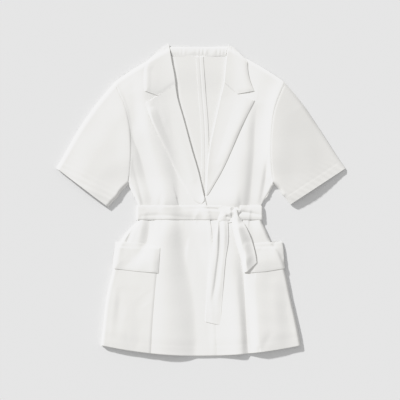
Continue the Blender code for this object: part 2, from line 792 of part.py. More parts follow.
def build_pockets(place):
    """The patch pockets and the flaps over their mouths."""
    for side, pocket, flap in (("right", POCKET_RIGHT, FLAP_RIGHT), ("left", POCKET_LEFT, FLAP_LEFT)):
        front = (f"front_{side}",)
        pocket_panel = Panel(lines_through(pocket, 14), (8,), 0, True)
        laid_piece(f"pocket_{side}", pocket_panel, carried_height(front, BESIDE), place, plain_wall, front)
        flap_panel = Panel(lines_through(flap, 5), (4, 4))
        carriers = (f"pocket_{side}", f"front_{side}")
        on_pocket = carried_height(carriers, BESIDE + 1)
        laid_piece(f"flap_{side}", flap_panel, on_pocket, place, plain_wall, carriers)


def build_belt(place):
    """The belt round the waist, its knot and the two tails."""
    fronts = ("front_right", "front_left")
    belt_stretch("belt_right", -1, KNOT[1][0].x - 2.5, fronts, place)
    belt_stretch("belt_left", 1, KNOT[1][-1].x + 2.5, fronts, place)
    knot_panel = Panel(lines_through(KNOT, 12), (4, 5))
    laid_piece("belt_knot", knot_panel, carried_height(fronts, BESIDE), place, knot_wall, fronts)
    under_tails = (*fronts, "pocket_left", "flap_left")
    for tail, edges, steps in (("long", TAIL_LONG, 18), ("short", TAIL_SHORT, 12)):
        panel = Panel(lines_through(edges, steps), (2, 3))
        on_front = carried_height(under_tails, BESIDE)
        laid_piece(f"belt_tail_{tail}", panel, on_front, place, plain_wall, under_tails, tail_lift)


def main():
    """Builds the whole jacket."""
    for old in list(bpy.data.objects):
        bpy.data.objects.remove(old, do_unlink=True)
    collection = bpy.data.collections.new(NAME)
    bpy.context.scene.collection.children.link(collection)
    centre = bpy.data.objects.new(f"{NAME}_centre", None)
    collection.objects.link(centre)
    place = (collection, centre)
    build_lower_layer(place)
    build_upper_layer(place)
    build_collar(place)
    build_pockets(place)
    build_belt(place)


main()
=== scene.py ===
"""The looks of a short-sleeve belted jacket, laid flat on its back with the front up.

Heights and places are worked out in millimetres: +X to the wearer's left, +Y to the collar, 0 on the ground.
"""

import logging
import math
import random
from collections.abc import Sequence
from dataclasses import dataclass, field
from enum import Enum
from typing import NamedTuple

import bmesh
import bpy
import numpy as np
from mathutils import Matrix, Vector
from mathutils.bvhtree import BVHTree


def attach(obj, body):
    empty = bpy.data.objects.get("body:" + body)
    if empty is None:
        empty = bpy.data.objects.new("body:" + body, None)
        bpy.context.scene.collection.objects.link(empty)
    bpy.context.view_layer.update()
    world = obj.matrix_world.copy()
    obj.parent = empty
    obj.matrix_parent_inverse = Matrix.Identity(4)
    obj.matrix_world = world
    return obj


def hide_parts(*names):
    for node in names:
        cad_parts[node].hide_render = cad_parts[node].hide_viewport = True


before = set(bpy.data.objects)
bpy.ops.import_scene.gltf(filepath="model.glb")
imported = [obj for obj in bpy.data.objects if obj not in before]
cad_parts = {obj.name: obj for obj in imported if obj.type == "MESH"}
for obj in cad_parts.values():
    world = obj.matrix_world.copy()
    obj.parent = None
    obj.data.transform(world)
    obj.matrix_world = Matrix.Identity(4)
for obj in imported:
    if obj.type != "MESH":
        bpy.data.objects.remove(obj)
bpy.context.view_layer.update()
LOG = logging.getLogger("jacket")

MM = 0.001
WALL = 1.0
GAP = 0.2
CLOSE_STEPS = (0.1, 0.28, 0.6)


class Spot(NamedTuple):
    """A place seen from above."""

    x: float
    y: float


class Ridge(NamedTuple):
    """A point of a soft fold: its height, below 0 in a trough, and its reach to the right and the left."""

    x: float
    y: float
    rise: float
    to_right: float
    to_left: float


class Grid(NamedTuple):
    """How finely a sheet is made: its steps along, and its steps across between two lines."""

    rows: int
    columns: int


class Waves(NamedTuple):
    """The slight unevenness of cloth: the seed of its waves, their rise and their length."""

    seed: int
    rise: float
    length: float


class Side(Enum):
    """The wearer's side that a piece belongs to."""

    RIGHT = "right"
    LEFT = "left"


class Edge(Enum):
    """A lengthwise border of a sheet's grid of rows and columns."""

    FIRST_COLUMN = "first_column"
    LAST_COLUMN = "last_column"


# Lines and heights


def smooth_step(value: np.ndarray) -> np.ndarray:
    """0 below 0, 1 above 1, and an even rise between."""
    t = np.clip(value, 0.0, 1.0)
    return t * t * (3 - 2 * t)


def rounded(distance: np.ndarray, width: float) -> np.ndarray:
    """The rise of a rounded edge: 0 at the edge, 1 from the width inwards."""
    return np.sqrt(1 - (1 - np.clip(distance / width, 0.0, 1.0)) ** 2)


def fading(distance: np.ndarray, reach: float) -> np.ndarray:
    """1 at no distance, falling softly to 0 beyond the reach."""
    return np.exp(-((distance / reach) ** 2))


def curve(knots: np.ndarray, values: np.ndarray, at: np.ndarray) -> np.ndarray:
    """A smooth curve through values.

    Args:
        knots: Where the values are, rising.
        values: One row for each knot.
        at: Where the curve is wanted.

    Returns:
        One row for each place in at.
    """
    slopes = np.gradient(values, knots, axis=0, edge_order=2 if len(knots) > 2 else 1)
    first = np.clip(np.searchsorted(knots, at, side="right") - 1, 0, len(knots) - 2)
    span = knots[first + 1] - knots[first]
    t = (at - knots[first]) / span
    shape = (-1,) + (1,) * (values.ndim - 1)
    t, span = t.reshape(shape), span.reshape(shape)
    start = (2 * t**3 - 3 * t**2 + 1) * values[first] + (t**3 - 2 * t**2 + t) * span * slopes[first]
    return start + (3 * t**2 - 2 * t**3) * values[first + 1] + (t**3 - t**2) * span * slopes[first + 1]


def smooth_line(spots: Sequence[tuple[float, ...]], fractions: np.ndarray) -> np.ndarray:
    """Points of the smooth line through the spots, at these fractions of its length.

    Args:
        spots: Places on the line, with any further values.
        fractions: Where points are wanted.

    Returns:
        One row for each fraction.
    """
    points = np.array(spots, dtype=float)
    lengths = np.concatenate(([0.0], np.cumsum(np.linalg.norm(np.diff(points[:, :2], axis=0), axis=1))))
    return curve(lengths, points, np.asarray(fractions) * lengths[-1])


def even(steps: int) -> np.ndarray:
    """Fractions from 0 to 1 in equal steps."""
    return np.linspace(0, 1, steps + 1)


def spaced(steps: int, span: float = 1.0) -> np.ndarray:
    """Steps from 0 to the span that lie closer together at both ends, where an edge is rounded.

    Args:
        steps: How many even steps there would be.
        span: Where the last step ends.

    Returns:
        The places, from 0 to the span.
    """
    plain = np.linspace(0, span, steps + 1)
    close = np.array(CLOSE_STEPS) * plain[1]
    return np.concatenate(([0.0], close, plain[1:-1], span - close[::-1], [span]))


def moved_sideways(points: np.ndarray, distance: float) -> np.ndarray:
    """The line moved to its left by a distance, in the plane.

    Args:
        points: The line's points.
        distance: How far, below 0 to its right.

    Returns:
        The moved line.
    """
    along = np.gradient(points, axis=0)
    across = np.stack((-along[:, 1], along[:, 0]), axis=1)
    return points + distance * across / np.linalg.norm(across, axis=1)[:, None]


def between(lines: Sequence[np.ndarray], across: np.ndarray) -> np.ndarray:
    """Plan points between lengthwise lines.

    Args:
        lines: Lines of equal length, each an array of rows of x and y.
        across: Places across them, from 0 at the first line to 1 for each line further.

    Returns:
        An array of rows, columns, and x and y.
    """
    stack = np.stack(lines, axis=0)
    first = np.clip(across.astype(int), 0, len(lines) - 2)
    share = (across - first)[:, None, None]
    return ((1 - share) * stack[first] + share * stack[first + 1]).transpose(1, 0, 2)


class Ramp(NamedTuple):
    """A soft change along a measure: where it starts, and over what length, below 0 to go the other way."""

    start: float
    length: float

    def at(self, place: np.ndarray) -> np.ndarray:
        """0 before the ramp, 1 after it."""
        return smooth_step((place - self.start) / self.length)


@dataclass(frozen=True)
class Chain:
    """A line of straight stretches, seen from above."""

    points: np.ndarray

    def nearest(self, x: np.ndarray, y: np.ndarray) -> tuple[np.ndarray, np.ndarray, np.ndarray]:
        """The nearest place of the chain to each spot.

        Args:
            x: The spots' x.
            y: The spots' y.

        Returns:
            The distance, the place as a fraction of the chain's stretches, and the side, which is below 0
            on the wearer's right of a chain that runs down.
        """
        best = np.full(x.shape, np.inf)
        place, side = np.zeros(x.shape), np.zeros(x.shape)
        count = len(self.points) - 1
        for index in range(count):
            start, end = self.points[index], self.points[index + 1]
            along_x, along_y = end - start
            length = max(along_x**2 + along_y**2, 1e-9)
            off_x, off_y = x - start[0], y - start[1]
            t = np.clip((off_x * along_x + off_y * along_y) / length, 0, 1)
            away = np.hypot(off_x - t * along_x, off_y - t * along_y)
            closer = away < best
            best = np.where(closer, away, best)
            place = np.where(closer, (index + t) / count, place)
            side = np.where(closer, along_x * off_y - along_y * off_x, side)
        return best, place, side

    def distance(self, x: np.ndarray, y: np.ndarray) -> np.ndarray:
        """How far each spot lies from the chain."""
        return self.nearest(x, y)[0]


@dataclass(frozen=True)
class Crease:
    """A soft trough or ridge laid by hand along a line, with a rounder or a sharper crown."""

    ridges: tuple[Ridge, ...]
    crown: float = 2.0

    def height(self, x: np.ndarray, y: np.ndarray) -> np.ndarray:
        """What the crease adds at each spot.

        Args:
            x: The spots' x.
            y: The spots' y.

        Returns:
            The heights, below 0 in a trough.
        """
        line = smooth_line(self.ridges, even(20))
        reach = 4 * max(max(r.to_right, r.to_left) for r in self.ridges)
        low, high = line[:, :2].min(axis=0) - reach, line[:, :2].max(axis=0) + reach
        near = (x > low[0]) & (x < high[0]) & (y > low[1]) & (y < high[1])
        total = np.zeros(x.shape)
        if not near.any():
            return total
        away, place, side = Chain(line[:, :2]).nearest(x[near], y[near])
        values = [np.interp(place, even(20), line[:, index]) for index in (2, 3, 4)]
        width = np.where(side < 0, values[1], values[2])
        total[near] = values[0] * np.exp(-((away / np.maximum(width, 0.5)) ** self.crown))
        return total


def crease(*ridges: tuple[float, ...], crown: float = 2.0) -> Crease:
    """A crease through points that each give the five values of a ridge."""
    return Crease(tuple(Ridge(*ridge) for ridge in ridges), crown)


def spots(*places: tuple[float, float]) -> tuple[Spot, ...]:
    """The places of one line."""
    return tuple(Spot(*place) for place in places)


def relief(creases: Sequence[Crease], x: np.ndarray, y: np.ndarray) -> np.ndarray:
    """The sum of the creases at each spot.

    Args:
        creases: The creases.
        x: The spots' x.
        y: The spots' y.

    Returns:
        The heights.
    """
    total = np.zeros(x.shape)
    for one in creases:
        total += one.height(x, y)
    return total


def undulation(x: np.ndarray, y: np.ndarray, waves: Waves) -> np.ndarray:
    """The slight unevenness of cloth that was laid by hand: a few waves in different directions.

    Args:
        x: The spots' x.
        y: The spots' y.
        waves: Their seed, rise and length.

    Returns:
        The heights.
    """
    draw = random.Random(waves.seed)
    total = np.zeros(x.shape)
    for _ in range(6):
        angle = draw.uniform(0, math.tau)
        length = waves.length * draw.uniform(0.7, 1.8)
        turn = (x * math.cos(angle) + y * math.sin(angle)) * math.tau / length + draw.uniform(0, math.tau)
        total += np.sin(turn) * draw.uniform(0.5, 1.0)
    return waves.rise * total / 3


def blurred(values: np.ndarray, rounds: int) -> np.ndarray:
    """Values on a grid, evened out with their neighbours.

    Args:
        values: The grid.
        rounds: How often each is evened out.

    Returns:
        The softer grid.
    """
    for _ in range(rounds):
        wide = np.pad(values, 1, mode="edge")
        values = (wide[:-2, 1:-1] + wide[2:, 1:-1] + wide[1:-1, :-2] + wide[1:-1, 2:] + 2 * values) / 6
    return values


def widest(values: np.ndarray, rounds: int = 1) -> np.ndarray:
    """The highest value of each place and its neighbours.

    Args:
        values: The grid.
        rounds: How many steps away a neighbour counts.

    Returns:
        The wider grid.
    """
    for _ in range(rounds):
        wide = np.pad(values, 1, mode="edge")
        rows, columns = values.shape
        around = [wide[r : r + rows, c : c + columns] for r in range(3) for c in range(3)]
        values = np.max(around, axis=0)
    return values


def windows(values: np.ndarray, reach: int) -> list[np.ndarray]:
    """A grid moved by each number of columns up to the reach, to both sides."""
    wide = np.pad(values, ((0, 0), (reach, reach)), mode="edge")
    return [wide[:, shift : shift + values.shape[1]] for shift in range(2 * reach + 1)]


def taut(values: np.ndarray, reach: int) -> np.ndarray:
    """Heights of a strip that spans the narrow hollows along it.

    Args:
        values: The heights beneath it, with the strip's length in the columns.
        reach: Half the width of the hollows that it spans, in columns.

    Returns:
        The strip's heights.
    """
    spanned = np.min(windows(np.max(windows(values, reach), axis=0), reach), axis=0)
    return np.maximum(np.mean(windows(spanned, 2), axis=0), values)


def filled(values: np.ndarray, droop: float) -> np.ndarray:
    """Values with the missing ones filled in from their neighbours, each a little lower.

    Args:
        values: The grid, with no number where one is missing.
        droop: How much lower each step is.

    Returns:
        The grid without gaps.
    """
    values = values.copy()
    for _ in range(values.size):
        missing = np.isnan(values)
        if not missing.any():
            break
        wide = np.pad(values, 1, mode="constant", constant_values=np.nan)
        around = np.stack((wide[:-2, 1:-1], wide[2:, 1:-1], wide[1:-1, :-2], wide[1:-1, 2:]))
        known = ~np.isnan(around)
        count = known.sum(axis=0)
        mean = np.where(known, around, 0).sum(axis=0) / np.maximum(count, 1)
        values = np.where(missing & (count > 0), mean - droop, values)
    return values


# The cut, in the same numbers as the solids

ARM_LEVELS = (276, 245, 224, 189, 163, 118, 70, 36)
ARM_RIGHT = (-204, -189, -180, -171, -166, -164.5, -167.5, -171)
ARM_LEFT = (198, 184.5, 176.5, 168.5, 166, 164, 167, 172)
ROLL_LEVELS = (353, 330, 302, 274, 246, 215, 192, 160, 118, 71, 36)
ROLL_OVER = (-74, -69, -64, -59, -56, -48, -41, -33, -21, -7, 1.5)
ROLL_UNDER = (63, 59, 57, 54, 47, 40, 35, 29, 20, 15, 13)
BODY_LEVELS = (36, 10, -12, -30, -48, -71, -96, -130, -168, -224, -300, -343)
SIDE_RIGHT = (-171, -158, -148, -147.5, -149, -170, -189, -199, -208, -221, -230.5, -235)
SIDE_LEFT = (172, 157, 142.5, 141.5, 142.5, 153, 164, 184, 198, 210, 227, 235)
EDGE_OVER = (1.5, 8, 13, 17, 21, 25, 27, 29, 30, 32, 35, 36.5)
EDGE_UNDER = (13, 10, 5, -3, -11, -20, -27, -32, -35, -37, -38, -38)
BACK_SEAM = (9, 8, 7, 6, 5, 4, 3, 2, 1, 0, 0, 0)
BACK_SEAM_TOP = (Spot(-3.5, 339), Spot(2, 260), Spot(9, 165), Spot(9, 36))
SHOULDER_BOW = 5.5
HEM_LEVEL = -343.0
HEM_DROP = 25.0
HEM_HALF = 235.0
HEM_DEPTH = 24.0
DROP_START = -60.0
BELT_LEVEL = -30.0
BELT_WIDTH = 33.0
LEAF_BACK_LOW = 315.0
LEAF_BACK_HALF = 119.0
LEAF_BACK_MIDDLE = -8.0
STEP_RAMP = 14.0
LEAF_RAMP = 70.0
FRONT_STEP_RAMP = 70.0
FRONT_LEAF_RAMP = 90.0
LOFT = 3.9
CROWN_LOFT = 1.5
CROWN_REACH = 60.0
NECK_LOFT = 0.04
NECK_REACH = 95.0
HEM_LOFT = 0.75
HEM_REACH = 45.0
SOFT_BOTTOM = 2.6
RIM_ROLL = 8.0
RIM_ROUND = 3.2
RIM_MIDDLE = 2.2
WAIST_SQUEEZE = 0.55
WAIST_REACH = 26.0
ARM_GROOVE = 0.35
ARM_GROOVE_WIDTH = 1.8
ARM_STEPS = 100
BODY_STEPS = 126
SLEEVE_KNOTS = (0.0, 0.2, 0.46, 0.91, 1.0)
BODY_WAVES = Waves(5, 0.22, 70.0)
LAPEL_WAVES = Waves(11, 0.12, 60.0)
POCKET_WAVES = Waves(21, 0.18, 50.0)


class Station(NamedTuple):
    """One line across a sleeve: its ends at the outer and the under edge, and how far it bows to the body."""

    outer_x: float
    outer_y: float
    under_x: float
    under_y: float
    bow: float


SLEEVES = {
    Side.RIGHT: (
        Station(-243, 230, -186, 22, 21),
        Station(-280, 178, -195, 8, 10),
        Station(-331, 91, -211.5, -9, 3),
        Station(-340.6, 75.5, -218.6, -17.2, 0),
    ),
    Side.LEFT: (
        Station(233.8, 233.6, 183, 27, 20),
        Station(274, 175, 192, 13, 10),
        Station(329.5, 90, 204, -1, 3),
        Station(340.6, 74.5, 211, -10.4, 0),
    ),
}


def levels_line(levels: Sequence[float], places: Sequence[float], fractions: np.ndarray) -> np.ndarray:
    """An edge given as its x at each level, at these fractions of its length."""
    return smooth_line(list(zip(places, levels)), fractions)


def body_edge(top: np.ndarray, places: Sequence[float], rows: np.ndarray) -> np.ndarray:
    """An edge from its upper points on down to the hem, its lower x smooth between the levels.

    Args:
        top: The upper points.
        places: The x at each body level.
        rows: The levels of the rows.

    Returns:
        The whole edge.
    """
    levels = -np.array(BODY_LEVELS, dtype=float)
    x = curve(levels, np.array(places, dtype=float)[:, None], -rows)[:, 0]
    return np.vstack((top, np.stack((x, rows), axis=1)[1:]))


def dropped(plan: np.ndarray) -> np.ndarray:
    """A plan with its lower part let down towards the middle, as the hem is.

    Args:
        plan: Rows and columns of x and y.

    Returns:
        The plan let down.
    """
    share = np.clip((plan[:, :, 1] - DROP_START) / (HEM_LEVEL - DROP_START), 0, None)
    plan = plan.copy()
    plan[:, :, 1] -= HEM_DROP * share * (1 - (plan[:, :, 0] / HEM_HALF) ** 2)
    return plan


def hem_line(x: np.ndarray) -> np.ndarray:
    """The level of the hem's lower edge."""
    return HEM_LEVEL - HEM_DROP * (1 - (x / HEM_HALF) ** 2)


@dataclass(frozen=True)
class Cut:
    """The lines that bound the body's pieces, at fine rows."""

    upper: np.ndarray = field(default_factory=lambda: spaced(ARM_STEPS)[:-4])
    lower: np.ndarray = field(default_factory=lambda: spaced(BODY_STEPS)[4:])

    def rows(self) -> np.ndarray:
        """The levels of the lower rows."""
        share = np.concatenate(([0.0], self.lower))
        return BODY_LEVELS[0] + share * (HEM_LEVEL - BODY_LEVELS[0])

    def tops(self) -> np.ndarray:
        """The fractions of the upper rows."""
        return np.concatenate((self.upper, [1.0]))

    def side(self, side: Side) -> np.ndarray:
        """Armhole and side seam, from the shoulder to the hem."""
        arm, low = (ARM_RIGHT, SIDE_RIGHT) if side is Side.RIGHT else (ARM_LEFT, SIDE_LEFT)
        return body_edge(levels_line(ARM_LEVELS, arm, self.tops()), low, self.rows())

    def front(self, side: Side) -> np.ndarray:
        """Roll line and front edge, from the neck to the hem."""
        roll, low = (ROLL_OVER, EDGE_OVER) if side is Side.RIGHT else (ROLL_UNDER, EDGE_UNDER)
        return body_edge(levels_line(ROLL_LEVELS, roll, self.tops()), low, self.rows())

    def seam(self) -> np.ndarray:
        """The centre back seam."""
        return body_edge(smooth_line(BACK_SEAM_TOP, self.tops()), BACK_SEAM, self.rows())

    def fold(self, side: Side, top: Spot, share: float) -> np.ndarray:
        """A line from the neck down a back half, this share of the way from the seam to the side.

        Args:
            side: Which half.
            top: Where it starts.
            share: 0 at the seam and 1 at the side.

        Returns:
            The line's points.
        """
        count = len(self.upper)
        edge, seam = self.side(side), self.seam()
        body = seam[count:] + share * (edge[count:] - seam[count:])
        return np.vstack((smooth_line((top, body[0]), self.tops()), body[1:]))

    def arm(self, side: Side, fractions: np.ndarray) -> np.ndarray:
        """The armhole alone."""
        return levels_line(ARM_LEVELS, ARM_RIGHT if side is Side.RIGHT else ARM_LEFT, fractions)


CUT = Cut()


def bowed(plan: np.ndarray, bow: float) -> np.ndarray:
    """A plan with its upper rows bowed out at the shoulder.

    Args:
        plan: Rows and columns of x and y.
        bow: How far the middle of the top row moves.

    Returns:
        The bowed plan.
    """
    plan = plan.copy()
    u = np.linspace(0, 1, plan.shape[1])[None, :]
    v = np.linspace(0, 1, plan.shape[0])[:, None]
    plan[:, :, 1] += bow * 4 * u * (1 - u) * (1 - v) ** 3
    return plan


def front_plan(side: Side, across: np.ndarray) -> np.ndarray:
    """The plan of a front, its columns running to the wearer's left.

    Args:
        side: Which front.
        across: Fractions for the columns.

    Returns:
        Rows and columns of x and y.
    """
    lines = [CUT.side(side), CUT.front(side)]
    if side is Side.LEFT:
        lines.reverse()
    return dropped(bowed(between(lines, across), SHOULDER_BOW))


def sleeve_plan(side: Side, around: np.ndarray, along: np.ndarray) -> np.ndarray:
    """The plan of one layer of a sleeve.

    Args:
        side: Which sleeve.
        around: Fractions from the outer fold to the under edge, for the rows.
        along: Fractions from the armhole to the cuff, for the columns.

    Returns:
        Rows and columns of x and y.
    """
    outward = -1 if side is Side.RIGHT else 1
    lines = [moved_sideways(CUT.arm(side, around), outward * GAP / 2)]
    for station in SLEEVES[side]:
        outer = np.array((station.outer_x, station.outer_y))
        chord = np.array((station.under_x, station.under_y)) - outer
        to_body = np.array((-chord[1], chord[0])) / np.linalg.norm(chord)
        if to_body[0] * outward > 0:
            to_body = -to_body
        bow = (station.bow * 4 * around * (1 - around))[:, None]
        lines.append(outer + around[:, None] * chord + bow * to_body)
    return curve(np.array(SLEEVE_KNOTS), np.stack(lines, axis=0), along).transpose(1, 0, 2)


# How the layers lie

BODY_CREASES = (
    # Side valleys over the waist, wearer's right
    crease(
        (-163, 160, -0.6, 5, 14), (-159, 142, -1.5, 5, 16), (-148.5, 118, -2.4, 7, 24),
        (-137, 80, -3.6, 14, 34), (-128.5, 47, -4.2, 18, 36), (-121, 20, -4.2, 18, 34),
        (-117, -9, -4.0, 16, 30), crown=1.35,
    ),
    crease(
        (-160, 88, -0.2, 4, 6), (-153, 55, -0.7, 4, 6), (-145, 24, -1.0, 4, 7), (-137, -9, -1.2, 5, 8),
        crown=1.5,
    ),
    # Soft troughs from the chest into the belt, and on to the hem
    crease(
        (-80, 165, -0.3, 14, 30), (-68, 118, -1.0, 15, 36), (-58, 75, -2.2, 16, 40),
        (-51, 47, -3.2, 16, 40), (-47, 20, -3.7, 16, 40), (-44, -10, -3.7, 16, 36), crown=1.9,
    ),
    crease(
        (-44, -44, -4.4, 20, 44), (-37, -71, -5.4, 25, 50), (-27, -142, -5.6, 30, 60),
        (0, -236, -5.8, 42, 60), (4, -319, -5.4, 38, 60), (5, -366, -5.0, 34, 60), crown=2.0,
    ),
    crease(
        (-121, -46, -3.4, 18, 26), (-123, -71, -4.4, 20, 22), (-127, -100, -4.2, 22, 18),
        (-143, -128, -2.6, 20, 18), (-162, -152, -0.5, 16, 16), crown=1.25,
    ),
    crease(
        (-135, -40, 1.0, 8, 12), (-140, -70, 1.7, 10, 14), (-147, -100, 1.0, 10, 14),
        (-160, -122, 0, 8, 12),
    ),
    crease(
        (-147, -45, -1.0, 4, 5), (-160, -66, -1.8, 4, 5), (-168, -82, -1.8, 4, 6), (-174, -99, -1.0, 5, 7),
    ),
    crease(
        (-160, 252, -0.3, 14, 20), (-154, 212, -1.2, 16, 20), (-153, 184, -1.0, 14, 16),
        (-155, 166, -0.2, 10, 14),
    ),
    # Ridges that stand between them
    crease(
        (-138, 300, 0.5, 16, 30), (-129, 225, 1.8, 18, 30), (-121, 175, 2.0, 18, 32),
        (-108, 110, 1.5, 18, 28), (-95, 60, 1.2, 18, 20), (-88, -4, 1.2, 16, 16),
    ),
    crease(
        (-96, -52, 1.4, 24, 22), (-94, -100, 2.2, 30, 28), (-88, -200, 3.1, 40, 40),
        (-82, -300, 2.9, 40, 40), (-82, -366, 2.2, 36, 38),
    ),
    # Wearer's left
    crease(
        (133, 228, -0.3, 13, 30), (129.5, 190, -2.1, 12, 34), (127.5, 165, -2.9, 12, 34),
        (126.5, 118, -3.2, 13, 36), (120.5, 47, -3.5, 12, 34), (116, -12, -3.4, 12, 30), crown=1.7,
    ),
    crease((156, 95, -0.5, 5, 14), (152, 47, -2.5, 6, 18), (143, -7, -2.8, 6, 14), crown=1.7),
    crease((84, 150, 0.3, 20, 18), (84, 90, 1.0, 24, 18), (82, 40, 1.1, 24, 16), (80, -6, 1.0, 20, 14)),
    crease(
        (94, -120, -1.0, 12, 14), (99, -172, -3.2, 11, 12), (106.5, -236, -4.4, 12, 12),
        (113, -319, -4.8, 12, 13), (115, -366, -3.8, 12, 13), crown=1.7,
    ),
    crease((80, -190, 0.3, 24, 9), (90, -280, 1.2, 24, 9), (96, -366, 1.2, 24, 9)),
    crease((122, -52, -0.5, 7, 9), (124, -80, -0.3, 8, 10), (128, -104, 0, 8, 12)),
    # The sleeve heads stand a little above the body
    crease(
        (-205, 277, 0.8, 22, 5), (-189, 246, 1.2, 26, 5), (-178, 212, 1.4, 28, 5), (-171, 170, 1.4, 28, 5),
        (-168, 118, 1.2, 26, 5), (-170, 60, 0.6, 20, 5),
    ),
    crease(
        (194, 275, 1.6, 14, 40), (177, 236, 2.8, 15, 80), (167, 180, 3.4, 16, 100),
        (164, 113, 3.4, 15, 100), (166, 58, 2.4, 12, 80), crown=1.5,
    ),
    crease(
        (250, 228, -0.8, 44, 12), (272, 190, -2.0, 54, 14), (300, 140, -2.6, 60, 16),
        (326, 96, -2.6, 60, 16),
    ),
    crease(
        (-236, 226, 0.1, 20, 26), (-262, 150, 0.4, 24, 30), (-284, 70, 0.4, 24, 30),
        (-292, 30, 0.3, 20, 26),
    ),
    # Short gathers at the belt
    crease((-92, 20, 0, 6, 6), (-95, 2, -0.5, 5, 6), (-97, -12, -0.7, 5, 6)),
    crease((88, 22, 0, 6, 6), (92, 2, -0.4, 5, 6), (93, -12, -0.6, 5, 6)),
    crease((-92, -48, -0.6, 6, 6), (-94, -66, -0.4, 7, 6), (-95, -86, 0, 8, 7)),
)
BACK_CREASES = (
    crease((-120, 250, 0.0, 30, 30), (-90, 150, 0.5, 34, 34), (-70, 20, 0.7, 30, 30)),
    crease((118, 250, 0.0, 30, 30), (96, 150, 0.5, 34, 34), (80, 20, 0.7, 30, 30)),
    crease((-110, -60, 0.5, 24, 24), (-120, -200, 0.6, 34, 34), (-130, -340, 0.3, 40, 40)),
    crease((96, -60, 0.5, 24, 24), (112, -200, 0.6, 34, 34), (126, -340, 0.3, 40, 40)),
)


class Lie:
    """Heights of the laid layers above the ground."""

    def __init__(self) -> None:
        """Finds the rims, where the front and the back meet."""
        rows = slice(len(CUT.upper), None, 6)
        chains = []
        for side in Side:
            shoulder = front_plan(side, spaced(24))[0]
            if side is Side.LEFT:
                shoulder = shoulder[::-1]
            outer = sleeve_plan(side, np.array((0.0, 1.0)), even(16))
            chains.append(np.vstack((shoulder[::-1], outer[0])))
            edge = CUT.side(side)
            chains.append(np.vstack((outer[1][::-1], edge[rows], edge[-1:])))
        self.rims = [Chain(points) for points in chains]
        self.necks = [Chain(CUT.front(side)[: len(CUT.upper) + 1 : 4]) for side in Side]

    def rim(self, x: np.ndarray, y: np.ndarray) -> np.ndarray:
        """How far each spot lies from the nearest rim."""
        return np.min([chain.distance(x, y) for chain in self.rims], axis=0)

    @staticmethod
    def ground(
        x: np.ndarray, y: np.ndarray, ramp: float = STEP_RAMP, leaf_ramp: float = LEAF_RAMP
    ) -> np.ndarray:
        """How far a layer is lifted by the belt and the collar leaf beneath it, over ramps of these lengths.

        Args:
            x: The spots' x.
            y: The spots' y.
            ramp: The ramp beside the belt.
            leaf_ramp: The ramp beside the leaf.

        Returns:
            The lift at each spot.
        """
        off_belt = np.abs(y - BELT_LEVEL) - BELT_WIDTH / 2 - 1
        off_leaf = np.maximum(LEAF_BACK_LOW - y, np.abs(x - LEAF_BACK_MIDDLE) - LEAF_BACK_HALF)
        covered = np.maximum(1 - smooth_step(off_belt / ramp), 1 - smooth_step(off_leaf / leaf_ramp))
        return (WALL + GAP) * covered

    def outer_back(self, x: np.ndarray, y: np.ndarray) -> np.ndarray:
        """The outside of the back, which rests on the ground and rises to the rims.

        Args:
            x: The spots' x.
            y: The spots' y.

        Returns:
            The heights.
        """
        rise = rounded(self.rim(x, y), RIM_ROUND)
        low = self.ground(x, y)
        return low * rise + RIM_MIDDLE * (1 - rise)

    def outer_front(self, x: np.ndarray, y: np.ndarray) -> np.ndarray:
        """The outside of the fronts and of the sleeves' upper layer.

        Args:
            x: The spots' x.
            y: The spots' y.

        Returns:
            The heights.
        """
        away = self.rim(x, y)
        loft_share = 1 - (1 - np.clip(away / RIM_ROLL, 0, 1)) ** 2
        squeeze = 1 - WAIST_SQUEEZE * fading(y - BELT_LEVEL, WAIST_REACH)
        folds = relief(BODY_CREASES, x, y) + undulation(x, y, BODY_WAVES)
        from_neck = np.min([chain.distance(x, y) for chain in self.necks], axis=0)
        spread = NECK_LOFT + (1 - NECK_LOFT) * smooth_step(from_neck / NECK_REACH)
        spread *= HEM_LOFT + (1 - HEM_LOFT) * smooth_step((y - hem_line(x)) / HEM_REACH)
        loft = (LOFT + CROWN_LOFT * smooth_step((away - RIM_ROLL) / CROWN_REACH)) * squeeze * spread
        open_height = loft + folds
        inner = 0.5 * (open_height + np.sqrt(open_height**2 + SOFT_BOTTOM))
        full = 2 * WALL + GAP + loft_share * inner
        rise = rounded(away, RIM_ROUND)
        lifted = self.ground(x, y, FRONT_STEP_RAMP, FRONT_LEAF_RAMP) * rise
        return lifted + RIM_MIDDLE + (full - RIM_MIDDLE) * rise


LIE = Lie()


# Finishes


class Wire:
    """A shader socket that Python arithmetic extends with Math nodes."""

    def __init__(self, graph: "Graph", socket: bpy.types.NodeSocket) -> None:
        """Wraps an output socket of a graph."""
        self.graph = graph
        self.socket = socket

    def math(self, operation: str, *values: "Wire | float") -> "Wire":
        """A Math node on these values, in their order."""
        node = self.graph.add("ShaderNodeMath", {"operation": operation}, dict(enumerate(values)))
        return Wire(self.graph, node.outputs[0])

    def __add__(self, other: "Wire | float") -> "Wire":
        """This plus other."""
        return self.math("ADD", self, other)

    __radd__ = __add__

    def __mul__(self, other: "Wire | float") -> "Wire":
        """This times other."""
        return self.math("MULTIPLY", self, other)

    __rmul__ = __mul__

    def __sub__(self, other: "Wire | float") -> "Wire":
        """This less other."""
        return self.math("SUBTRACT", self, other)

    def __rsub__(self, other: float) -> "Wire":
        """Other less this."""
        return self.math("SUBTRACT", other, self)

    def sine(self) -> "Wire":
        """The sine of this."""
        return self.math("SINE", self)


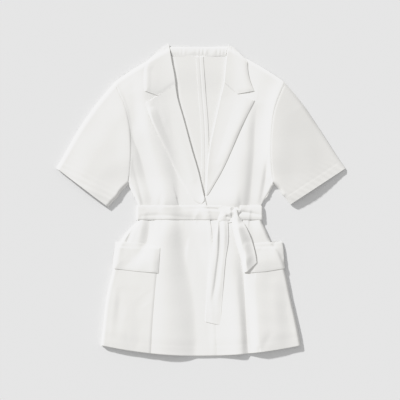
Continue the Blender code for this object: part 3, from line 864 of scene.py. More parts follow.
@dataclass
class Graph:
    """A material's node tree."""

    material: bpy.types.Material

    def add(self, kind: str, settings: dict, inputs: dict) -> bpy.types.Node:
        """Adds a node.

        Args:
            kind: The node's type name.
            settings: Its properties, set first.
            inputs: Values, wires or sockets for its inputs, by name or number.

        Returns:
            The new node.
        """
        node = self.material.node_tree.nodes.new(kind)
        for name, value in settings.items():
            setattr(node, name, value)
        for name, value in inputs.items():
            self.feed(node.inputs[name], value)
        return node

    def feed(self, socket: bpy.types.NodeSocket, value: object) -> None:
        """Sets an input socket, or links it.

        Args:
            socket: The input.
            value: What it gets: a value, a wire or a socket.
        """
        if isinstance(value, Wire):
            value = value.socket
        if isinstance(value, bpy.types.NodeSocket):
            self.material.node_tree.links.new(value, socket)
        else:
            socket.default_value = value

    def shader(self) -> bpy.types.Node:
        """The main shader node."""
        return self.material.node_tree.nodes["Principled BSDF"]


class Noise(NamedTuple):
    """The unevenness of a finish: its cells to a metre, and its detail."""

    cells: float
    detail: float


@dataclass(frozen=True)
class CrepeFinish:
    """White woven crepe: a fine uneven weave with a dry, slightly napped face, some pieces darkened by
    painted shade.
    """

    name: str
    colour: tuple[float, float, float] = (0.86, 0.853, 0.834)
    shade: tuple[float, float, float] = (0.84, 0.831, 0.81)
    # The colour that painted shade darkens a piece towards, standing in for the shade the light leaves on it
    painted_shade_colour: tuple[float, float, float] = (0.735, 0.725, 0.7)
    roughness: float = 0.86
    thread_mm: float = 0.55
    relief_mm: float = 0.05
    crinkles: Noise = Noise(900.0, 2.0)
    clouds: Noise = Noise(11.0, 3.0)
    flecks: Noise = Noise(240.0, 2.0)
    weave_relief: float = 0.35
    crinkle_relief: float = 0.9
    fleck_relief: float = 0.5
    cloud_tint: float = 0.7
    fleck_tint: float = 0.3
    rough_spread: float = 0.12
    wander: float = 3.0
    bump: float = 0.35
    specular: float = 0.25
    sheen: float = 0.12
    sheen_roughness: float = 0.6
    seed: float = 0.0

    def build(self) -> bpy.types.Material:
        """Makes the material.

        Returns:
            The crepe, ready for a piece whose points carry its place in the cut and its painted shade, a
            share that darkens the colour in place of the light's shade.
        """
        material = bpy.data.materials.new(self.name)
        material.use_nodes = True
        graph = Graph(material)
        place = graph.add("ShaderNodeAttribute", {"attribute_name": "cut"}, {})
        shift = (self.seed, self.seed, self.seed)
        flat = place.outputs["Vector"]
        moved = graph.add("ShaderNodeVectorMath", {"operation": "ADD"}, {0: flat, 1: shift})
        parts = graph.add("ShaderNodeSeparateXYZ", {}, {0: flat})
        turns = math.tau / (self.thread_mm * MM)
        warp, weft = Wire(graph, parts.outputs["X"]), Wire(graph, parts.outputs["Y"])
        crinkle = self.noise(graph, moved, self.crinkles)
        cloud = self.noise(graph, moved, self.clouds)
        fleck = self.noise(graph, moved, self.flecks)
        weave = (warp * turns + crinkle * self.wander).sine() * (weft * turns + crinkle * self.wander).sine()
        height = weave * self.weave_relief + crinkle * self.crinkle_relief + fleck * self.fleck_relief
        patches = cloud * self.cloud_tint + fleck * self.fleck_tint
        tint = self.mixed(graph, patches, (*self.colour, 1.0), self.shade)
        # Painted shade: each piece's share mixes the colour towards the painted-shade colour, standing in for
        # the light's shade
        painted_shade = graph.add("ShaderNodeAttribute", {"attribute_name": "painted_shade"}, {})
        face = self.mixed(graph, painted_shade.outputs["Fac"], tint, self.painted_shade_colour)
        bump_inputs = {"Strength": self.bump, "Distance": self.relief_mm * MM, "Height": height}
        bump = graph.add("ShaderNodeBump", {}, bump_inputs)
        shader = graph.shader()
        graph.feed(shader.inputs["Base Color"], face)
        rough = self.roughness + fleck * self.rough_spread - self.rough_spread / 2
        graph.feed(shader.inputs["Roughness"], rough)
        graph.feed(shader.inputs["Normal"], bump.outputs["Normal"])
        shader.inputs["Specular IOR Level"].default_value = self.specular
        shader.inputs["Sheen Weight"].default_value = self.sheen
        shader.inputs["Sheen Roughness"].default_value = self.sheen_roughness
        return material

    @staticmethod
    def mixed(graph: Graph, share: object, first: object, second: Sequence[float]) -> bpy.types.NodeSocket:
        """Mixes two colours.

        Args:
            graph: Where the node goes.
            share: How much of the second colour shows.
            first: The first colour, or the socket that gives it.
            second: The second colour.

        Returns:
            The socket of the mixed colour.
        """
        inputs = {"Factor": share, 6: first, 7: (*second, 1.0)}
        return graph.add("ShaderNodeMix", {"data_type": "RGBA"}, inputs).outputs[2]

    @staticmethod
    def noise(graph: Graph, place: bpy.types.Node, noise: Noise) -> Wire:
        """A noise over the cloth."""
        inputs = {"Vector": place.outputs[0], "Scale": noise.cells, "Detail": noise.detail}
        return Wire(graph, graph.add("ShaderNodeTexNoise", {}, inputs).outputs[0])


@dataclass(frozen=True)
class PaperFinish:
    """The plain pale ground."""

    colour: tuple[float, float, float] = (0.79, 0.79, 0.79)

    def build(self) -> bpy.types.Material:
        """Makes the material.

        Returns:
            The ground's material.
        """
        material = bpy.data.materials.new("pale_ground")
        material.use_nodes = True
        shader = Graph(material).shader()
        shader.inputs["Base Color"].default_value = (*self.colour, 1.0)
        shader.inputs["Roughness"].default_value = 1.0
        shader.inputs["Specular IOR Level"].default_value = 0.0
        return material


# Sheets


def arc_places(points: np.ndarray) -> tuple[np.ndarray, np.ndarray]:
    """Where each point of a grid lies on the flat cloth: across and along, in millimetres.

    Args:
        points: The sheet's points.

    Returns:
        Its places across and along.
    """
    across = np.linalg.norm(np.diff(points, axis=1), axis=2)
    along = np.linalg.norm(np.diff(points, axis=0), axis=2)
    u = np.concatenate((np.zeros((points.shape[0], 1)), np.cumsum(across, axis=1)), axis=1)
    u -= u[:, points.shape[1] // 2][:, None]
    v = np.concatenate(([0.0], np.cumsum(along[:, points.shape[1] // 2])))
    return u, np.repeat(v[:, None], points.shape[1], axis=1)


def raised(plan: np.ndarray, height: np.ndarray) -> np.ndarray:
    """A plan with its heights, as points."""
    return np.concatenate((plan, height[:, :, None]), axis=2)


def rolled(
    points: np.ndarray, edge: Edge, radius: float | np.ndarray, turn: float = 170.0, steps: int = 6
) -> np.ndarray:
    """A sheet whose border is turned down in a roll.

    Args:
        points: The sheet's points.
        edge: The border that is turned.
        radius: The roll's radius, one value or one for each point of the border.
        turn: How far it turns, in degrees.
        steps: The columns that it adds.

    Returns:
        The sheet with the roll added.
    """
    first = edge is Edge.FIRST_COLUMN
    border, inner = (points[:, 0], points[:, 3]) if first else (points[:, -1], points[:, -4])
    away = (border - inner)[:, :2]
    away = away / np.maximum(np.linalg.norm(away, axis=1), 1e-6)[:, None]
    reach = np.broadcast_to(np.asarray(radius, dtype=float), (len(border),))
    added = []
    for step in range(1, steps + 1):
        angle = math.radians(turn * step / steps)
        plan = border[:, :2] + away * (reach * math.sin(angle))[:, None]
        height = border[:, 2] - reach * (1 - math.cos(angle))
        added.append(np.concatenate((plan, height[:, None]), axis=1))
    extra = np.stack(added, axis=1)
    if first:
        return np.concatenate((extra[:, ::-1], points), axis=1)
    return np.concatenate((points, extra), axis=1)


# Painted shade for each piece, from 0 to 1: how far its colour is darkened to stand in for the shade the
# light leaves on it
PAINTED_SHADE = {
    "back_right": 0.3, "back_left": 0.28, "seam_allowances": 0.2, "sleeve_right": 0.22, "sleeve_left": 0.62,
    "lapel_right": 0.0, "lapel_left": 0.3, "collar_leaf_right": 0.0, "collar_leaf_left": 0.3,
    "pocket_right": 0.4, "pocket_left": 0.35, "flap_right": 0.2, "flap_left": 0.3,
    "belt_right": 0.35, "belt_left": 0.2, "belt_knot": 0.15,
}


MERGE_DISTANCE = 0.02
RIM_ANGLE = 1.0
LEAST_AREA_SHARE = 0.31
PROBE_HEIGHT = 1.0
SPREAD_ROUNDS = 4
SEED_STEP = 0.37


@dataclass
class Piece:
    """One finished piece of cloth and how it is held."""

    name: str
    points: np.ndarray
    slot: str
    nodes: tuple[str, ...] = ()
    wall: float = WALL
    tube: bool = False
    held: str = "laid"
    rests_on: tuple[str, ...] = ()
    bevel_share: float = 0.42


@dataclass
class Workroom:
    """Makes the pieces and keeps their shapes for what is laid on them."""

    finishes: dict[str, bpy.types.Material] = field(default_factory=dict)
    trees: dict[str, BVHTree] = field(default_factory=dict)

    def finish(self, slot: str) -> bpy.types.Material:
        """The material of a slot, made on its first use.

        Args:
            slot: The slot's name.

        Returns:
            Its material.
        """
        if slot not in self.finishes:
            self.finishes[slot] = CrepeFinish(slot, seed=SEED_STEP * (len(self.finishes) + 1)).build()
        return self.finishes[slot]

    def shell(self, piece: Piece) -> bmesh.types.BMesh:
        """The piece's outside with its wall inside it, and its borders rounded.

        Args:
            piece: The piece's points and facts.

        Returns:
            Its closed mesh.
        """
        rows, columns = piece.points.shape[:2]
        across, along = arc_places(piece.points)
        bm = bmesh.new()
        bmesh.ops.create_grid(bm, x_segments=columns - 1, y_segments=rows - 1, size=1.0)
        cut = bm.verts.layers.float_vector.new("cut")
        painted_shade = bm.verts.layers.float.new("painted_shade")
        for vert in bm.verts:
            column = round((vert.co.x + 1) / 2 * (columns - 1))
            row = round((1 - vert.co.y) / 2 * (rows - 1))
            vert.co = Vector(piece.points[row, column]) * MM
            vert[cut] = Vector((across[row, column], along[row, column], 0)) * MM
            # Each point carries its piece's painted shade, which darkens its colour
            vert[painted_shade] = PAINTED_SHADE.get(piece.name, 0.0)
        if piece.tube:
            bmesh.ops.remove_doubles(bm, verts=bm.verts, dist=MERGE_DISTANCE * MM)
        bm.normal_update()
        bmesh.ops.solidify(bm, geom=bm.faces[:], thickness=piece.wall * MM)
        for vert in bm.verts:
            vert.co.z = max(vert.co.z, 0.0)
        bmesh.ops.recalc_face_normals(bm, faces=bm.faces)
        rims = [edge for edge in bm.edges if len(edge.link_faces) == 2 and edge.calc_face_angle() > RIM_ANGLE]
        offset = piece.bevel_share * piece.wall * MM
        bmesh.ops.bevel(
            bm, geom=rims, offset=offset, offset_type="OFFSET", segments=2, profile=0.5,
            affect="EDGES", material=-1, clamp_overlap=True,
        )
        return bm

    def make(self, piece: Piece) -> bpy.types.Object:
        """Makes a piece, parents it to the root body and hides the solids that it stands for.

        Args:
            piece: The piece's points and facts.

        Returns:
            The finished object.
        """
        bm = self.shell(piece)
        self.trees[piece.name] = BVHTree.FromBMesh(bm)
        mesh = bpy.data.meshes.new(piece.name)
        bm.to_mesh(mesh)
        bm.free()
        mesh.shade_smooth()
        mesh.materials.append(self.finish(piece.slot))
        obj = bpy.data.objects.new(piece.name, mesh)
        bpy.context.scene.collection.objects.link(obj)
        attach(obj, "root")
        if piece.nodes:
            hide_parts(*piece.nodes)
        width, length, area = self.flat_size(piece.points)
        LOG.info("%s: %d faces, cut %.0f x %.0f mm", piece.name, len(mesh.polygons), width / MM, length / MM)
        return obj

    @staticmethod
    def flat_size(points: np.ndarray) -> tuple[float, float, float]:
        """Width, length and area of the flat cloth, in metres.

        Args:
            points: The sheet's points.

        Returns:
            Width and length, and the area.
        """
        across = np.linalg.norm(np.diff(points, axis=1), axis=2)
        along = np.linalg.norm(np.diff(points, axis=0), axis=2)
        width, length = across.sum(axis=1).max(), along.sum(axis=0).max()
        one = points[1:, 1:] - points[:-1, :-1]
        two = points[1:, :-1] - points[:-1, 1:]
        area = 0.5 * np.linalg.norm(np.cross(one, two), axis=2).sum()
        area = min(max(area, LEAST_AREA_SHARE * width * length), width * length)
        return width * MM, length * MM, area * MM * MM

    def tops(self, names: Sequence[str], x: np.ndarray, y: np.ndarray) -> np.ndarray:
        """Height of the named pieces at each spot, and no number beside them.

        Args:
            names: The pieces.
            x: The spots' x.
            y: The spots' y.

        Returns:
            Heights at the spots.
        """
        found = np.full(x.shape, np.nan)
        down = Vector((0, 0, -1))
        for index in np.ndindex(x.shape):
            start = Vector((x[index] * MM, y[index] * MM, PROBE_HEIGHT))
            for name in names:
                hit = self.trees[name].ray_cast(start, down)[0]
                if hit is not None:
                    found[index] = np.fmax(found[index], hit.z / MM)
        return found

    def laid_on(
        self, names: Sequence[str], plan: np.ndarray, even_out: int = 6, droop: float = 0.05
    ) -> np.ndarray:
        """The height at which a sheet's underside lies on the named pieces.

        Args:
            names: What carries it.
            plan: The sheet's plan.
            even_out: How stiff the sheet is: rounds of evening out.
            droop: How much lower each step beside the carriers lies.

        Returns:
            Heights at the plan's points.
        """
        floor = widest(filled(self.tops(names, plan[:, :, 0], plan[:, :, 1]), droop))
        soft = blurred(floor, even_out)
        short = np.maximum(floor - soft, 0)
        for _ in range(SPREAD_ROUNDS):
            short = np.maximum(blurred(short, 1), np.maximum(floor - soft, 0))
        return soft + short + GAP


# The body and the sleeves


@dataclass
class Backs:
    """The two halves of the back, their pressed-open seam allowances and the hidden belt and collar."""

    room: Workroom
    columns: int = 60
    allowance: float = 8.5
    allowance_columns: int = 14
    allowance_wall: float = 0.6
    allowance_press: float = 0.15
    seam_sink: float = 0.7
    seam_width: float = 1.1
    billow: float = 1.0
    billow_edge: float = 3.5
    billow_reach: float = 90.0
    opening: Ramp = Ramp(30.0, 50.0)
    inland: Ramp = Ramp(20.0, 30.0)
    ease: float = 0.2
    fold_softness: float = 0.6
    fold_shares: tuple[float, float, float] = (0.8, 0.55, 0.42)
    belt_ends: tuple[float, float] = (-138.2, 132.2)
    belt_grid: Grid = Grid(10, 60)
    belt_ripple: float = 0.12
    belt_ripple_turn: float = 0.11
    belt_ripple_share: float = 0.5
    neck: dict[Side, tuple[Spot, Spot, Spot]] = field(
        default_factory=lambda: {
            Side.RIGHT: (Spot(-139, 319.5), Spot(-76, 352), Spot(-71.5, 339)),
            Side.LEFT: (Spot(130.5, 319.5), Spot(65, 352), Spot(61, 339)),
        }
    )

    def half(self, side: Side) -> None:
        """One half of the back, its outside down.

        Args:
            side: Which half.
        """
        to_seam = GAP / 2 if side is Side.LEFT else -GAP / 2
        inner = [CUT.fold(side, top, share) for top, share in zip(self.neck[side], self.fold_shares)]
        lines = [CUT.side(side), *inner, moved_sideways(CUT.seam(), to_seam)]
        if side is Side.RIGHT:
            lines.reverse()
        plan = dropped(between(lines, spaced(self.columns, len(lines) - 1)))
        x, y = plan[:, :, 0], plan[:, :, 1]
        folds = (relief(BACK_CREASES, x, y) + self.ease) * self.inland.at(LIE.rim(x, y)) * self.fold_softness
        height = LIE.outer_back(x, y) + folds
        from_roll, _, beside = Chain(CUT.front(Side.RIGHT)[: len(CUT.upper) + 1 : 2]).nearest(x, y)
        open_part = self.opening.at(y) * (beside > 0)
        swell = self.billow * (1 - fading(from_roll, self.billow_edge)) * fading(from_roll, self.billow_reach)
        points = raised(plan, height + swell * open_part)
        name = f"back_{side.value}"
        self.room.make(Piece(name, points, "body_cloth", (name,), rests_on=("belt_back", "collar_leaf_back")))

    def allowances(self) -> None:
        """The two seam allowances, pressed open on the inside, with the seam sunk between them."""
        seam = CUT.seam()[2::2]
        aside = np.array((self.allowance, 0.0))
        plan = dropped(between([seam - aside, seam + aside], spaced(self.allowance_columns)))
        carriers = ("back_right", "back_left")
        floor = self.room.laid_on(carriers, plan, even_out=2)
        wall = self.allowance_wall
        sunk = wall * self.seam_sink * fading(plan[:, :, 0] - seam[:, :1], self.seam_width)
        points = raised(plan, floor + wall - self.allowance_press - sunk)
        self.room.make(Piece("seam_allowances", points, "body_cloth", wall=wall, rests_on=carriers))

    def hidden_belt(self) -> None:
        """The belt's stretch under the back."""
        x = np.linspace(*self.belt_ends, self.belt_grid.columns)
        y = BELT_LEVEL + BELT_WIDTH * (0.5 - spaced(self.belt_grid.rows))
        plan = np.stack(np.meshgrid(x[::-1], y), axis=2)
        belly = np.sin(np.pi * (plan[:, :, 1] - y[-1]) / BELT_WIDTH)
        height = self.belt_ripple * (1 - np.cos(plan[:, :, 0] * self.belt_ripple_turn)) * belly
        points = raised(plan, np.maximum(height, 0) * self.belt_ripple_share)
        self.room.make(Piece("belt_back", points, "belt_cloth", ("belt_back",)))

    def build(self) -> None:
        """Builds the back."""
        self.hidden_belt()
        for side in Side:
            self.half(side)
        self.allowances()


@dataclass
class Fronts:
    """The two fronts. The right one laps over the left."""

    room: Workroom
    columns: int = 96
    hem_fold: float = 0.14
    hem_ramp: float = 4.0
    stitch_sink: float = 0.07
    stitch_width: float = 2.0
    lap: Ramp = Ramp(2.0, 14.0)
    lap_top: Ramp = Ramp(50.0, -40.0)
    sewn_flat: float = 1.15
    sewn_reach: float = 11.0
    sewn_top: Ramp = Ramp(-38.0, -20.0)
    inland: Ramp = Ramp(3.0, 6.0)
    flare: float = 0.5
    flare_level: float = -66.0
    flare_length: float = 20.0
    flare_reach: float = 9.0
    foot: float = 0.9
    foot_round: float = 2.5
    lift_rounds: int = 5

    def hem(self, x: np.ndarray, y: np.ndarray) -> np.ndarray:
        """What the folded hem adds, with the sunk line of its stitches.

        Args:
            x: The spots' x.
            y: The spots' y.

        Returns:
            The heights.
        """
        above = y - hem_line(x) - HEM_DEPTH
        fold = self.hem_fold * smooth_step(-above / self.hem_ramp)
        return fold - self.stitch_sink * fading(above, self.stitch_width)

    def left(self) -> None:
        """The left front, which dips under the right one."""
        plan = front_plan(Side.LEFT, spaced(self.columns))
        x, y = plan[:, :, 0], plan[:, :, 1]
        full = LIE.outer_front(x, y) + self.hem(x, y)
        edge = np.interp(-y, -np.array(BODY_LEVELS, dtype=float), EDGE_OVER)
        covered = self.lap.at(edge - x) * self.lap_top.at(y)
        low = LIE.ground(x, y) + 2 * WALL + GAP
        height = full + (low - full) * covered
        self.lay(Side.LEFT, plan, height, ("back_right", "back_left"))

    def right(self) -> None:
        """The right front, which lies on the left one."""
        plan = front_plan(Side.RIGHT, spaced(self.columns))
        x, y = plan[:, :, 0], plan[:, :, 1]
        height = LIE.outer_front(x, y) + self.hem(x, y)
        self.lay(Side.RIGHT, plan, height, ("back_right", "back_left", "front_left"))

    def lay(self, side: Side, plan: np.ndarray, height: np.ndarray, carriers: tuple[str, ...]) -> None:
        """Rests a front on what carries it, and makes it.

        Args:
            side: Which front.
            plan: Its plan.
            height: Its height where nothing beneath lifts it.
            carriers: The pieces beneath it.
        """
        x, y = plan[:, :, 0], plan[:, :, 1]
        floor = widest(np.nan_to_num(self.room.tops(carriers, x, y), nan=0.0)) + GAP + WALL
        inside = self.inland.at(LIE.rim(x, y))
        from_edge = Chain(plan[::4, -1 if side is Side.RIGHT else 0]).distance(x, y)
        sewn = self.sewn_flat * fading(from_edge, self.sewn_reach) * self.sewn_top.at(y)
        needed = np.maximum(floor - sewn - height, 0) * inside
        lift = needed
        for _ in range(self.lift_rounds):
            lift = np.maximum(blurred(lift, 1), needed)
        groove = ARM_GROOVE * fading(Chain(CUT.arm(side, even(30))).distance(x, y), ARM_GROOVE_WIDTH)
        flare = fading(from_edge, self.flare_reach) * fading(y - self.flare_level, self.flare_length)
        flare *= self.flare * (side is Side.RIGHT)
        foot = self.foot * (1 - rounded(y - hem_line(x), self.foot_round))
        points = raised(plan, height + lift - groove * inside + flare - foot)
        name = f"front_{side.value}"
        self.room.make(Piece(name, points, "body_cloth", (name,), rests_on=carriers))

    def build(self) -> None:
        """Builds the fronts."""
        self.left()
        self.right()


@dataclass
class Sleeve:
    """A short set-in sleeve: a flattened tube that is open at the cuff."""

    room: Workroom
    side: Side
    around: int = 64
    along: int = 84
    hem_depth: float = 21.0
    hem_fold: float = 0.13
    hem_ramp: float = 3.5
    stitch_sink: float = 0.08
    stitch_width: float = 1.8
    pucker: float = 0.16
    pucker_reach: float = 34.0
    pucker_turns: tuple[float, float] = (0.2, 0.42)
    under_groove: float = 0.3
    inland: Ramp = Ramp(2.0, 6.0)
    wall: float = 0.9

    def build(self) -> None:
        """Builds the sleeve as one tube."""
        plan = sleeve_plan(self.side, spaced(self.around), spaced(self.along))
        x, y = plan[:, :, 0], plan[:, :, 1]
        from_cuff = Chain(plan[::4, -1]).distance(x, y)
        from_arm = Chain(plan[::4, 0]).distance(x, y)
        step = self.hem_fold * smooth_step((self.hem_depth - from_cuff) / self.hem_ramp)
        step -= self.stitch_sink * fading(from_cuff - self.hem_depth, self.stitch_width)
        inside = self.inland.at(LIE.rim(x, y))
        groove = ARM_GROOVE * fading(from_arm, ARM_GROOVE_WIDTH)
        turn_x, turn_y = self.pucker_turns
        pucker = self.pucker * np.sin(y * turn_y + x * turn_x) * fading(from_cuff, self.pucker_reach)
        upper = LIE.outer_front(x, y) + (step - groove + pucker) * inside
        lower = LIE.outer_back(x, y) + self.under_groove * groove * inside
        ring = np.concatenate((raised(plan, upper), raised(plan, lower)[::-1][1:]), axis=0)
        if self.side is Side.RIGHT:
            ring = ring[:, ::-1]
        ring[-1] = ring[0]
        name = f"sleeve_{self.side.value}"
        nodes = (f"{name}_upper", f"{name}_under")
        self.room.make(Piece(name, ring, "sleeve_cloth", nodes, wall=self.wall, tube=True))


# Collar and lapels


@dataclass
class Collar:
    """The stand, the leaves that fall over the shoulders, and the turned lapels."""

    room: Workroom
    stand_grid: Grid = Grid(110, 12)
    back_grid: Grid = Grid(120, 18)
    lapel_grid: Grid = Grid(120, 36)
    leaf_grid: Grid = Grid(48, 34)
    roll: float = 1.1
    loft: float = 0.15
    left_roll: float = 0.65
    least: float = 0.1
    fullness: float = 0.22
    fullness_place: float = 3.5
    fullness_width: float = 3.0
    thin_edge: float = 0.5
    lapel_thin_reach: float = 5.0
    leaf_thin_reach: float = 6.0
    lapel_end_sink: float = 0.55
    lapel_end: Ramp = Ramp(26.0, -40.0)
    lapel_opens: Ramp = Ramp(0.0, 60.0)
    lapel_lift: float = 0.08
    leaf_lift: float = 0.1
    leaf_roll: Ramp = Ramp(1.0, 6.0)
    leaf_roll_least: float = 0.25
    wall: float = 0.9
    fold_height: float = 2.6
    fold_round: float = 6.0
    back_fold: float = 1.2
    back_fold_round: float = 4.0
    stand_pucker: float = 0.2
    stand_pucker_level: float = 350.0
    stand_pucker_reach: float = 7.5
    stand_pucker_side: Ramp = Ramp(-60.0, 25.0)
    ripple_turn: float = 0.5
    ripple_swing: float = 2.2
    ripple_swing_turn: float = 0.13
    ripple_swell: float = 0.5
    ripple_swell_turn: float = 0.071
    stand_belly: float = 0.8
    stand_belly_shape: float = 0.8
    stand_top: float = 361.0
    stand_height: float = 26.0
    stand_sink: float = 0.6
    stand_foot_level: float = 339.5
    stand_foot_reach: float = 7.0
    stand_lift: float = 0.3
    stand_edge: float = 2.4
    stand_edge_inset: float = 0.5
    stand_shades: tuple[tuple[float, float], ...] = ((-38.0, 17.0), (32.0, 22.0))
    stand_shade_share: float = 0.75
    lapels: dict[Side, tuple[tuple[Spot, ...], ...]] = field(
        default_factory=lambda: {
            Side.RIGHT: (
                spots((-130, 228), (-124, 208), (-107, 165), (-78, 109), (-41, 34), (-13, -3), (1, -10)),
                spots((-100, 245.5), (-93, 208), (-76, 160), (-52, 105), (-21, 34), (-3, -1), (4, -6)),
                spots((-60, 272), (-56, 246), (-41, 192), (-21, 118), (-7, 71), (1.5, 36), (9, -1)),
            ),
            Side.LEFT: (
                spots((54.5, 276), (47, 246), (35, 192), (20, 118), (15, 71), (13.5, 36), (12, 12)),
                spots((86, 249.5), (80, 205), (62, 150), (44, 105), (30, 68), (20, 33), (14, 12)),
                spots((126, 234), (111, 205), (90.5, 162), (71, 116), (50, 71), (28, 32), (16, 12)),
            ),
        }
    )
    leaves: dict[Side, tuple[tuple[Spot, ...], ...]] = field(
        default_factory=lambda: {
            Side.RIGHT: (
                spots((-127, 327), (-131, 314), (-133.5, 288), (-132, 257)),
                spots((-92, 358), (-95, 320), (-98, 285), (-100, 245.9)),
                spots((-75, 368), (-69, 330), (-62, 293), (-59.5, 272.5)),
            ),
            Side.LEFT: (
                spots((65, 365), (59, 330), (56, 298), (54.5, 276.6)),
                spots((77, 359), (80, 325), (83, 290), (85.5, 250)),
                spots((110, 329), (110, 307), (114, 286), (125, 257)),
            ),
        }
    )
    stand: tuple[tuple[Spot, ...], ...] = (
        spots((-73, 360), (-30, 359.5), (20, 360), (63, 361.5)),
        spots((-69, 339.6), (-30, 339.2), (20, 339.2), (59, 339.6)),
    )
    leaf_back: tuple[tuple[Spot, ...], ...] = (
        spots(
            (-125, 325), (-109, 340), (-90, 356), (-72, 359), (0, 358), (60, 359), (76, 355), (93, 340),
            (108, 326),
        ),
        spots(
            (-122, 316), (-108, 315.5), (-92, 315), (-74, 315), (0, 315), (62, 315), (78, 315),
            (92, 315.5), (105, 316),
        ),
    )
    lapel_creases: dict[Side, tuple[Crease, ...]] = field(
        default_factory=lambda: {
            Side.RIGHT: (
                crease(
                    (-122, 219, 0.5, 5, 11), (-120, 208, 2.0, 6, 13), (-115, 192, 2.4, 6, 15),
                    (-106, 172, 1.9, 7, 15), (-86, 136, 0.7, 7, 15), (-64, 96, 0.1, 6, 12), crown=1.5,
                ),
                crease(
                    (-100, 226, -0.6, 8, 16), (-90, 186, -0.6, 8, 16), (-76, 147, -0.4, 8, 14),
                    (-64, 118, 0, 8, 12),
                ),
                crease((-58, 190, 0.2, 14, 12), (-40, 120, 0.6, 14, 12), (-18, 50, 0.4, 10, 8)),
            ),
            Side.LEFT: (
                crease(
                    (104, 226, 0.5, 16, 10), (90, 186, 0.9, 16, 9), (70, 140, 0.9, 14, 8),
                    (48, 90, 0.4, 12, 8),
                ),
                crease((60, 230, -0.4, 12, 14), (46, 160, -0.5, 10, 12), (34, 100, -0.2, 8, 10)),
            ),
        }
    )
    leaf_creases: dict[Side, tuple[Crease, ...]] = field(
        default_factory=lambda: {
            Side.RIGHT: (
                crease((-126, 312, 0.4, 5, 12), (-127, 286, 0.6, 5, 12), (-125, 260, 0.4, 5, 12)),
                crease((-112, 300, -0.4, 10, 12), (-112, 262, -0.5, 10, 12)),
            ),
            Side.LEFT: (
                crease((100, 326, 0.5, 14, 8), (104, 290, 0.8, 14, 8), (112, 262, 0.6, 14, 8)),
            ),
        }
    )

    def lay_stand(self) -> None:
        """The stand's inside, a little puckered where it is gathered into the neck."""
        lines = [smooth_line(edge, even(self.stand_grid.rows)) for edge in self.stand]
        plan = between(lines, spaced(self.stand_grid.columns)).transpose(1, 0, 2)
        x, y = plan[:, :, 0], plan[:, :, 1]
        swing = self.ripple_swing * np.sin(x * self.ripple_swing_turn)
        swell = 1 + self.ripple_swell * np.sin(x * self.ripple_swell_turn)
        ripple = np.sin(x * self.ripple_turn + swing) * swell
        pucker = self.stand_pucker * ripple * fading(y - self.stand_pucker_level, self.stand_pucker_reach)
        pucker *= self.stand_pucker_side.at(x)
        share = np.clip((self.stand_top - y) / self.stand_height, 0, 1)
        belly = self.stand_belly * np.sin(np.pi * share) ** self.stand_belly_shape
        shaded = sum(fading(x - place, reach) for place, reach in self.stand_shades)
        at_foot = fading(y - self.stand_foot_level, self.stand_foot_reach)
        sunk = self.stand_sink * (1 - self.stand_shade_share * shaded) * at_foot
        height = 2 * WALL + GAP + self.stand_lift + belly + pucker - sunk
        height -= self.stand_edge * (1 - rounded(self.stand_top - self.stand_edge_inset - y, self.stand_edge))
        name = "collar_stand"
        carriers = ("collar_leaf_back",)
        self.room.make(Piece(name, raised(plan, height), "collar_cloth", (name,), rests_on=carriers))

    def lay_leaf_back(self) -> None:
        """The collar's stretch behind the neck, under the back."""
        lines = [smooth_line(edge, even(self.back_grid.rows)) for edge in self.leaf_back]
        plan = between(lines, spaced(self.back_grid.columns)).transpose(1, 0, 2)[:, ::-1]
        from_top = Chain(lines[0][::3]).distance(plan[:, :, 0], plan[:, :, 1])
        height = self.back_fold * (1 - rounded(from_top, self.back_fold_round))
        self.room.make(Piece("collar_leaf_back", raised(plan, height), "collar_cloth", ("collar_leaf_back",)))

    def turned(
        self, table: Sequence[tuple[Spot, ...]], side: Side, grid: Grid, radius: float
    ) -> tuple[np.ndarray, np.ndarray, np.ndarray]:
        """The plan of a lapel or a leaf, set back at its inner edge by the roll.

        Args:
            table: Its lengthwise lines.
            side: The side it lies on.
            grid: How finely it is made.
            radius: The roll's radius.

        Returns:
            The plan, how near each column lies to the roll from 0 to 1, and the free edge.
        """
        lines = [smooth_line(edge, spaced(grid.rows)) for edge in table]
        inner = 2 if side is Side.RIGHT else 0
        lines[inner] = moved_sideways(lines[inner], -radius if side is Side.RIGHT else radius)
        across = spaced(grid.columns, 2)
        plan = between(lines, across)
        to_roll = across[None, :] / 2 if side is Side.RIGHT else 1 - across[None, :] / 2
        return plan, to_roll, lines[2 - inner]

    def full_edge(self, from_edge: np.ndarray) -> np.ndarray:
        """The fullness of the seam allowances inside a turned edge."""
        return self.fullness * fading(from_edge - self.fullness_place, self.fullness_width)

    def make_rolled(
        self, kind: str, side: Side, plan: np.ndarray, height: np.ndarray, radius: float | np.ndarray
    ) -> None:
        """Rolls the inner edge over, and makes the piece.

        Args:
            kind: The piece's name without its side.
            side: The side it lies on.
            plan: Its plan.
            height: Its height.
            radius: The roll's radius.
        """
        edge = Edge.LAST_COLUMN if side is Side.RIGHT else Edge.FIRST_COLUMN
        points = rolled(raised(plan, height), edge, radius)
        name = f"{kind}_{side.value}"
        slot = "lapel_cloth" if kind == "lapel" else "collar_cloth"
        self.room.make(Piece(name, points, slot, (name,), wall=self.wall, rests_on=(f"front_{side.value}",)))

    def lay_lapel(self, side: Side) -> None:
        """A turned lapel, which rolls over at its inner edge.

        Args:
            side: Which lapel.
        """
        radius = self.roll if side is Side.RIGHT else self.left_roll * self.roll
        plan, to_roll, free = self.turned(self.lapels[side], side, self.lapel_grid, radius)
        x, y = plan[:, :, 0], plan[:, :, 1]
        from_edge = Chain(free[::4]).distance(x, y)
        floor = self.room.laid_on(("front_right", "front_left"), plan, even_out=8)
        loft = self.loft * to_roll**2 * self.lapel_opens.at(y) + self.lapel_lift
        height = floor + WALL + np.maximum(loft + relief(self.lapel_creases[side], x, y), self.least)
        height += self.full_edge(from_edge) + undulation(x, y, LAPEL_WAVES)
        height -= self.thin_edge * fading(from_edge, self.lapel_thin_reach)
        height -= self.lapel_end_sink * self.lapel_end.at(y)
        self.make_rolled("lapel", side, plan, height, radius)

